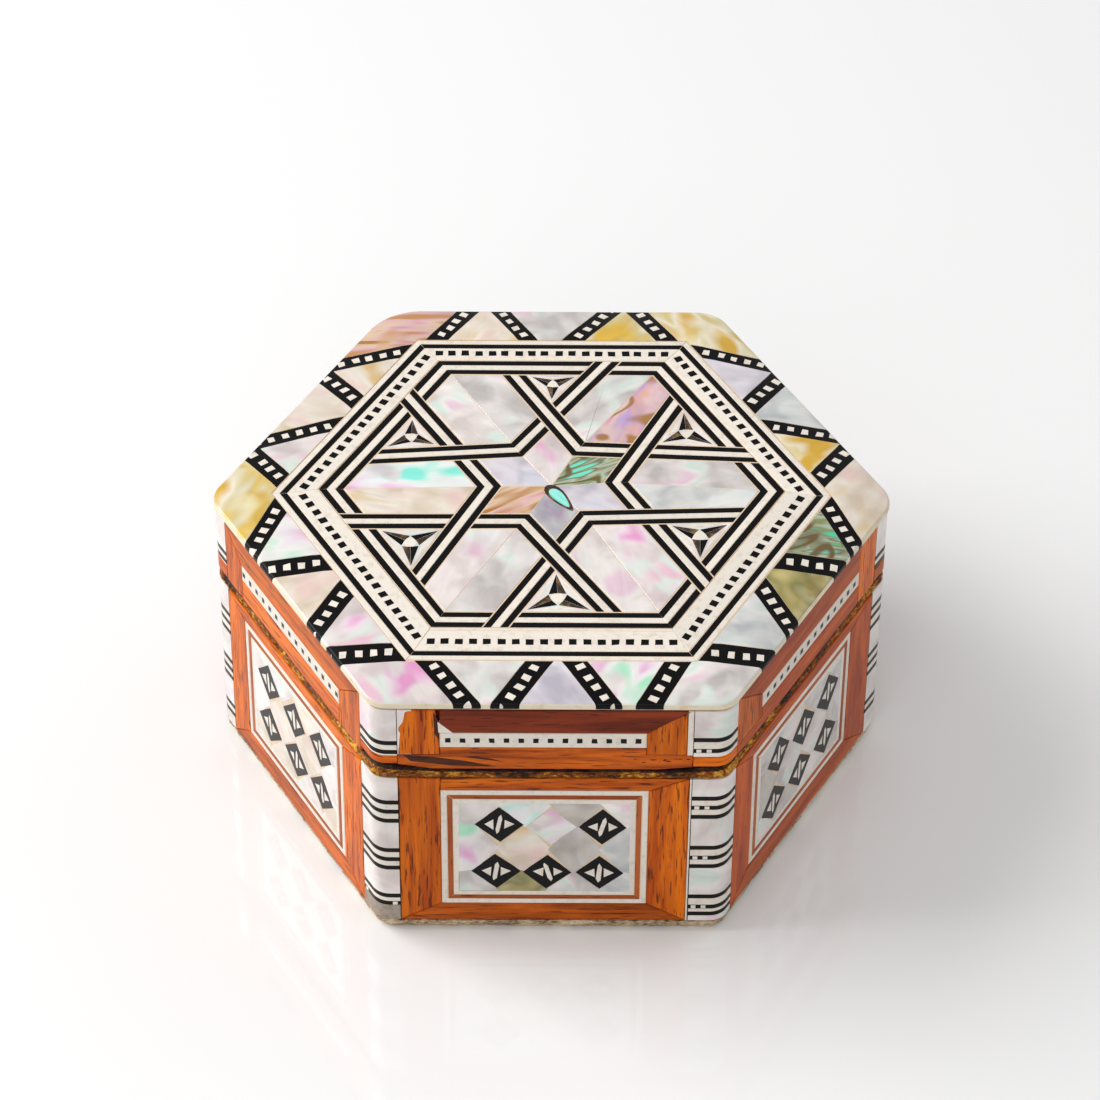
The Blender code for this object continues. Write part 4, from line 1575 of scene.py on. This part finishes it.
@dataclass
class CornerBlocks:
    """The pearl blocks of a corner, with black and white lines laid round it."""

    outline: Outline
    index: int
    layout: CornerLayout
    # The heights that the facings of the base and of the lid start and end at
    base: Point
    lid: Point
    strip_height: float = 2.7
    stripe: float = 0.84
    dot: float = 0.36
    dot_height: float = 0.32
    dot_pitch: float = 1.5
    widest_white: float = 1.6

    def route(self) -> Route:
        """Goes round the corner on the polished surface.

        Returns:
            Points in plan, with the direction that each one faces.
        """
        before, after = Side((self.index - 1) % 6), Side(self.index)
        half, flats = self.outline.half_side, self.outline.flats
        start = before.plan(half - self.layout.before + 0.05, flats)
        end = after.plan(-half + self.layout.after - 0.05, flats)
        bend = self.outline.bend(self.index, flats, self.outline.corner_radius)
        return [(start, before.angle), *bend, (end, after.angle)]

    def dots(self, piece: Marquetry, route: Route, height: float) -> None:
        """Sets small white squares in a black line.

        Args:
            piece: The piece that they belong to.
            route: The way round the corner.
            height: The height of the line.
        """
        for k, facing in ((0, route[0][1]), (-2, route[-1][1])):
            start, end = route[k][0], route[k + 1][0]
            line = Line.between(start, end)
            for step in range(int(math.dist(start, end) / self.dot_pitch)):
                middle = (step + 0.5) * self.dot_pitch
                ends = [(line.at(middle + way * self.dot), facing) for way in (-1, 1)]
                low, high = height - self.dot_height, height + self.dot_height
                piece.bent_tile(Stock.BONE, ends, low, high, -0.012, ease=FINE_EASE)

    def block(self, piece: Marquetry, low: float, high: float, stripes: Sequence[float]) -> None:
        """Lays a block from its foot up: shell, then black lines with bone between those of a set.

        Args:
            piece: The piece that it belongs to.
            low: The height of its foot.
            high: The height of its top.
            stripes: The heights of its black lines.
        """
        route, half = self.route(), self.stripe / 2
        piece.bent_tile(Stock.MASTIC, route, low, high, BED_DEPTH, PANEL_BED, ease=FINE_EASE)
        lines = sorted(stripes)
        edges = [low, *(height + way * half for height in lines for way in (-1, 1)), high]
        for k in range(0, len(edges), 2):
            bottom, top = edges[k] + 0.02, edges[k + 1] - 0.02
            if top - bottom < 0.1:
                continue
            inside_set = 0 < k < len(edges) - 2 and top - bottom < self.widest_white
            stock = Stock.BONE if inside_set else Stock.WHITE
            if top < self.layout.broken_below:
                stock = Stock.FILLER
            piece.bent_tile(stock, route, bottom, top, grain=piece.hand.choice((0, 80)))
        for height in lines:
            piece.bent_tile(Stock.BLACK, route, height - half, height + half, 0.005)
            if height in self.layout.dotted:
                self.dots(piece, route, height)

    def build(self) -> None:
        """Builds the base's block and the lid's block, which ends on the wooden strip along the seam."""
        name = CORNERS[self.index]
        base = Marquetry(f"pearl_corner_{name}")
        self.block(base, *self.base, self.layout.base_stripes)
        base.build("pearl", f"base_corner_{name}")
        lid = Marquetry(f"lid_pearl_corner_{name}")
        foot = self.lid[0] + self.strip_height
        self.block(lid, foot, self.lid[1], self.layout.lid_stripes)
        low = self.lid[0] + self.layout.worn_up
        lid.bent_tile(Stock.ORANGE_WOOD, self.route(), low, foot - 0.04, depth=VENEER, ease=0.3)
        lid.build("pearl", f"lid_corner_{name}")


@dataclass
class Carcass:
    """The hollow wooden bodies and the board, as rings of a rounded hexagon joined into one skin."""

    outline: Outline
    raised: tuple[float, ...]
    swell_above: float = 32.7
    swell_width: float = 4.5
    side_points: int = 130
    corner_steps: int = 10
    pole: float = 2.0

    def ring(self, flats: float, height: float, rough: float) -> list[Vector]:
        """One ring round the body, torn a little where the wood is left raw.

        Args:
            flats: Distance of its flats from the axis.
            height: Its height.
            rough: How deep the raw surface is torn.

        Returns:
            The points of the ring.
        """
        made = []
        radius = min(self.outline.corner_radius, flats * 0.4)
        for corner in range(6):
            stations = self.outline.bend(corner, flats, radius, self.corner_steps)
            following = self.outline.bend((corner + 1) % 6, flats, radius, self.corner_steps)[0][0]
            last, facing = stations[-1]
            for k in range(1, self.side_points):
                share = k / self.side_points
                stations.append((tuple(p + (q - p) * share for p, q in zip(last, following)), facing))
            for point, facing in stations:
                spot = Vector((*point, height))
                out, up = 0.0, 0.0
                if rough:
                    out = rough * (noise.noise(spot / 0.45) * 0.6 + noise.noise(spot / 1.6) * 0.8 - 0.2)
                    up = out * 0.4 + self.swell(point, height)
                made.append(Vector((*Line(point, facing).at(out), max(0.0, height + up))))
        return made

    def swell(self, point: Point, height: float) -> float:
        """How far the raw rim stands up under a worn corner of the lid.

        Args:
            point: A point of the rim in plan.
            height: Its height.

        Returns:
            The rise.
        """
        up = 0.0
        for corner, raised in enumerate(self.raised):
            gap = math.dist(point, self.outline.corner(corner, self.outline.flats))
            up += raised * math.exp(-((gap / self.swell_width) ** 2))
        return up * min(1.0, max(0.0, height - self.swell_above))

    def body(
        self,
        name: str,
        stock: Stock,
        profile: Sequence[tuple[float, ...]],
        slot: str,
        node: str,
        steps_of: dict[int, Stock] | None = None,
    ) -> None:
        """Builds one body from its profile, which is closed at both ends around the axis.

        Args:
            name: The piece's name.
            stock: What it is made of.
            profile: Flats and height of each ring, and how rough it is, from inside to outside.
            slot: The record's material slot.
            node: The plain node that it stands for.
            steps_of: Steps of the profile that show another stock.
        """
        piece = Marquetry(name)
        (_, first, *_), (_, last, *_) = profile[0], profile[-1]
        rings = [self.ring(*(*row, 0.0)[:3]) for row in ((self.pole, first), *profile, (self.pole, last))]
        flat = [self.unrolled(point) for ring in rings for point in ring]
        piece.loft(stock, rings, flat, 0.0, steps_of)
        piece.build(slot, node)

    def unrolled(self, point: Vector) -> Vector:
        """The place of a point in its stock, with the grain along the nearest side.

        Args:
            point: The point in space.

        Returns:
            Its coordinates along the grain, up and across.
        """
        side = Side(int(math.degrees(math.atan2(point.y, point.x)) % 360 // 60))
        along = Line((0, 0), side.angle + 90)
        dx, dy = polar(along.angle, 1)
        out = along.to_left((point.x, point.y))
        return Vector((point.x * dx + point.y * dy + side.index * 90, point.z, out))


@dataclass
class InlaidBox:
    """The whole box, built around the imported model."""

    outline: Outline
    # The heights that the facings of the base and of the lid start and end at
    base: Point
    lid: Point
    seam: float
    plate_bottom: float
    shell_depth: float = 0.8
    wall: float = 6.0
    lip_wall: float = 4.2
    facing: float = 1.8
    floor_height: float = 2.4
    lip_height: float = 3.0
    lid_clearance: float = 0.4
    lid_deck: float = 2.8
    CORNERS: ClassVar[tuple[CornerLayout, ...]] = (
        CornerLayout(4.4, 3.8, (28.9, 27.0, 24.8, 18.9, 17.0, 15.1, 8.8, 7.0), (39.2, 37.5)),
        CornerLayout(3.6, 3.6, (28.4, 26.6, 24.6, 18.2, 16.2, 14.4, 8.0, 6.2), (39.4, 37.7)),
        CornerLayout(3.6, 3.6, (27.6, 25.8, 24.0, 17.8, 16.0, 14.2, 7.8, 6.0), (39.4, 37.7)),
        CornerLayout(3.8, 4.0, (26.6, 24.8, 22.9, 16.6, 14.8, 13.1, 6.9, 5.2), (39.2, 37.6)),
        CornerLayout(
            4.4, 3.3, (27.3, 25.4, 23.5, 17.3, 15.4, 13.6, 7.6, 6.0), (39.5, 37.7), (6.0,), 5.9, 0.9
        ),
        CornerLayout(
            5.0,
            3.0,
            (28.4, 26.5, 24.6, 18.1, 16.0, 14.2, 7.7, 5.5, 4.0),
            (40.4, 38.2),
            (26.5, 16.0, 5.5, 38.2),
            worn_up=0.5,
        ),
    )
    # The sides at the back, which the photograph doesn't show, follow the visible ones in plainer stock
    PANELS: ClassVar[tuple[PanelLayout, ...]] = (
        PanelLayout(Area(-15.7, 6.2, 15.9, 29.9)),
        PanelLayout(Area(-15.9, 6.2, 15.9, 29.9)),
        PanelLayout(Area(-15.9, 6.2, 15.8, 29.9)),
        PanelLayout(
            Area(-16.3, 6.4, 15.2, 29.9),
            ((-8.9, 23.0), (-0.6, 22.1), (7.9, 23.0)),
            ((-9.0, 13.9), (-0.3, 13.9), (8.0, 14.0)),
            (-4.0, -3.0, -4.0, -5.0, 5.0, -4.0),
            stocks("cream cream white white silver"),
        ),
        PanelLayout(
            Area(-16.2, 6.1, 14.4, 29.9),
            ((-7.6, 22.9), (0.1, 22.4), (7.7, 22.4)),
            ((-8.1, 13.0), (-0.35, 12.9), (7.3, 12.7)),
            (10.0, 0.0, 14.0, 8.0, -14.0, 4.0),
            stocks("cream grey fire blue sea olive grey silver silver white silver blue"),
            1,
        ),
        PanelLayout(
            Area(-17.0, 6.8, 14.2, 30.0),
            ((-8.6, 23.1), (-0.4, 22.0), (7.5, 22.9)),
            ((-9.6, 13.7), (-1.2, 13.6), (7.2, 13.6)),
            (4.0, 5.0, 3.0, 4.0, 3.0, 3.0),
        ),
    )
    LIDS: ClassVar[tuple[LidLayout, ...]] = (
        LidLayout(Area(-15.4, 38.4, 15.4, 41.3)),
        LidLayout(Area(-15.6, 38.4, 15.6, 41.3)),
        LidLayout(Area(-15.4, 38.4, 15.4, 41.3)),
        LidLayout(Area(-16.5, 38.1, 14.7, 41.1), (0.0, 0.0), 15, rails=stocks("orange_wood orange_wood")),
        LidLayout(
            Area(-16.2, 38.7, 13.9, 41.6), (2.9, 3.0), 14, True, False, stocks("dark_wood brown_wood"), True
        ),
        LidLayout(
            Area(-14.9, 38.1, 15.9, 40.9), (2.1, 0.0), 14, False, True, stocks("red_wood red_wood")
        ),
    )
    FRAME_STOCK: ClassVar[tuple[tuple[Stock, ...], ...]] = (
        stocks("red_wood red_wood red_wood"),
        *(stocks("orange_wood orange_wood brown_wood"),) * 4,
        stocks("red_wood red_wood red_wood"),
    )

    def carcasses(self) -> None:
        """Turns the two hollow bodies and the board."""
        bodies = Carcass(self.outline, tuple(corner.worn_up for corner in self.CORNERS))
        flats, face_low, lid_low = self.outline.flats, self.base[0], self.lid[0]
        inside, lip, back = flats - self.wall, flats - self.lip_wall, flats - self.facing
        floor, lip_top = face_low + self.floor_height, self.seam + self.lip_height
        rim_foot = self.base[1] + OPEN_JOINT
        rise = self.seam - rim_foot
        slope = [
            (flats - 0.05 - 1.7 * share**2.2, rim_foot + rise * share**0.9, 0.34)
            for share in (k / 8 for k in range(9))
        ]
        base = [(inside, floor), (inside, lip_top), (lip, lip_top), (lip, self.seam), *reversed(slope)]
        base += [(back, rim_foot - 0.05), (back, face_low)]
        # Painted shade: the lip and the rim's top under the lid get the near-black seam wood, for the lid's
        # shadow
        painted_shade_in_the_seam = {step: Stock.SEAM_WOOD_IN_PAINTED_SHADE for step in range(3, 9)}
        name = "hollow_base_with_raw_rim"
        bodies.body(name, Stock.RAW_WOOD, base, "raw_wood", "base_carcass", painted_shade_in_the_seam)
        board_top = face_low - OPEN_JOINT
        shares = [1 - k / 7 for k in range(8)]
        board = [(flats - 0.15 - 1.1 * (1 - share) ** 2, board_top * share, 0.3) for share in shares]
        board.append((flats - 3.0, 0.0))
        bodies.body("sawn_bottom_board", Stock.BOARD_WOOD, board, "raw_wood", "bottom_board")
        deck = self.plate_bottom - OPEN_JOINT
        rebate, over_lip = lip + self.lid_clearance, lip_top + self.lid_clearance
        lid = [(back, deck), (back, lid_low), (rebate, lid_low), (rebate, over_lip)]
        lid += [(inside, over_lip), (inside, deck - self.lid_deck)]
        bodies.body("hollow_lid_wood", Stock.RED_WOOD, lid, "varnished_wood", "lid_carcass")

    def side(self, i: int) -> None:
        """Builds the base and the lid of one side, and the corner before it.

        Args:
            i: The number of the side.
        """
        side, face, half = Side(i), self.outline.flats, self.outline.half_side
        before, after = self.CORNERS[i], self.CORNERS[(i + 1) % 6]
        left, right = -half + before.after, half - after.before
        post, *rails = self.FRAME_STOCK[i]
        panel, front = self.PANELS[i], i == FRONT
        InlaidPanel(side, panel, face).build()
        area = Area(left, self.base[0], right, self.base[1])
        SideFrame(side, face, area, panel.window, post, rails, front, 0.4 if front else 0.0).build()
        area = Area(left, self.lid[0], right, self.lid[1])
        LidSide(side, self.LIDS[i], face, area, (before.worn_up, after.worn_up)).build()
        CornerBlocks(self.outline, i, before, self.base, self.lid).build()

    def build(self) -> None:
        """Builds every part of the box."""
        self.carcasses()
        for i in range(6):
            self.side(i)
        Border(self.outline, self.plate_bottom, self.plate_bottom + self.shell_depth).build()
        DottedFrame(self.outline, self.plate_bottom).build()
        StarField(self.outline, self.plate_bottom).build()


@dataclass(frozen=True)
class Studio:
    """The pale table, the soft lights and the camera at the photograph's angle."""

    yaw: float = -0.20
    pitch: float = 41.95
    roll: float = 0.40
    distance: float = 754.3
    target: Point = (-0.06, 41.60)
    focal_pixels: float = 4573.0
    image_pixels: float = 1100.0
    sensor: float = 36.0
    floor_reach: float = 6.0

    def floor(self) -> None:
        """Lays a polished white table top that reflects the box faintly."""
        mesh = bpy.data.meshes.new("white_table_top")
        corners = [(a * self.floor_reach, b * self.floor_reach, 0) for a, b in AROUND]
        mesh.from_pydata(corners, [], [(0, 1, 2, 3)])
        made = bpy.data.objects.new("white_table_top", mesh)
        bpy.context.scene.collection.objects.link(made)
        white = bpy.data.materials.new("white_laminate")
        white.use_nodes = True
        shader = white.node_tree.nodes["Principled BSDF"]
        shader.inputs["Base Color"].default_value = linear("#f4f4f4")
        shader.inputs["Roughness"].default_value = 0.05
        mesh.materials.append(white)

    def light(self, name: str, place: tuple[float, float, float], size: float, power: float) -> None:
        """Hangs a soft square lamp that looks at the box.

        Args:
            name: The lamp's name.
            place: Where it hangs, in metres.
            size: Its width, in metres.
            power: Its power in watts.
        """
        lamp = bpy.data.lights.new(name, "AREA")
        lamp.size = size
        lamp.energy = power
        made = bpy.data.objects.new(name, lamp)
        made.location = place
        aim = Vector((0, 0, 0.02)) - Vector(place)
        made.rotation_euler = aim.to_track_quat("-Z", "Y").to_euler()
        bpy.context.scene.collection.objects.link(made)

    def camera(self) -> None:
        """Sets the camera where the photograph was taken from."""
        yaw, pitch, roll = (math.radians(a) for a in (self.yaw, self.pitch, self.roll))
        back = Vector((math.sin(yaw) * math.cos(pitch), -math.cos(yaw) * math.cos(pitch), math.sin(pitch)))
        right = Vector((math.cos(yaw), math.sin(yaw), 0))
        up = back.cross(right)
        turned_right = right * math.cos(roll) + up * math.sin(roll)
        turned_up = up * math.cos(roll) - right * math.sin(roll)
        place = Vector((*self.target, 0)) + back * self.distance
        data = bpy.data.cameras.new("photograph_view")
        data.sensor_width = self.sensor
        data.lens = self.focal_pixels * self.sensor / self.image_pixels
        data.clip_end = 100
        made = bpy.data.objects.new("photograph_view", data)
        turn = Matrix((turned_right, turned_up, back)).transposed().to_4x4()
        made.matrix_world = Matrix.Translation(place * MM) @ turn
        bpy.context.scene.collection.objects.link(made)
        bpy.context.scene.camera = made

    def world(self) -> None:
        """Surrounds the box with pale, even light."""
        world = bpy.data.worlds.new("white_studio")
        world.use_nodes = True
        background = world.node_tree.nodes["Background"]
        background.inputs["Color"].default_value = linear("#ffffff")
        background.inputs["Strength"].default_value = 0.46
        bpy.context.scene.world = world
        bpy.context.scene.view_settings.view_transform = "Standard"

    def build(self) -> None:
        """Sets up the whole studio."""
        self.floor()
        self.light("window_left", (-0.75, 0.15, 0.65), 0.7, 8.5)
        self.light("lamp_front", (-0.15, -0.75, 0.75), 0.7, 2.2)
        self.light("lamp_right", (0.7, 0.35, 0.7), 0.6, 1.0)
        self.camera()
        self.world()


def millimetres(node: str) -> tuple[Vector, Vector]:
    """The lowest and highest corner of a plain node, in millimetres."""
    low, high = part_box(node)
    return low / MM, high / MM


def main() -> None:
    """Loads the frame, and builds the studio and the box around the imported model."""
    logging.basicConfig(level=logging.INFO, format="%(message)s")
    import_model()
    Studio().build()
    face_low, face_high = millimetres("base_frame_front")
    plate_low, plate_high = millimetres("top_border_front")
    seam = millimetres("lid_carcass")[0].z
    # The facings of the lid end a hair under the plate, whose bed is laid on them
    plate_bed = plate_low.z + OPEN_JOINT
    outline = Outline(-face_low.y, plate_high.z)
    base, lid = (face_low.z, face_high.z), (seam, plate_bed - 0.04)
    InlaidBox(outline, base, lid, seam - OPEN_JOINT, plate_bed).build()
    LOG.info("base up to %.1f mm, lid from %.1f mm", face_high.z, seam)


if __name__ == "__main__":
    main()
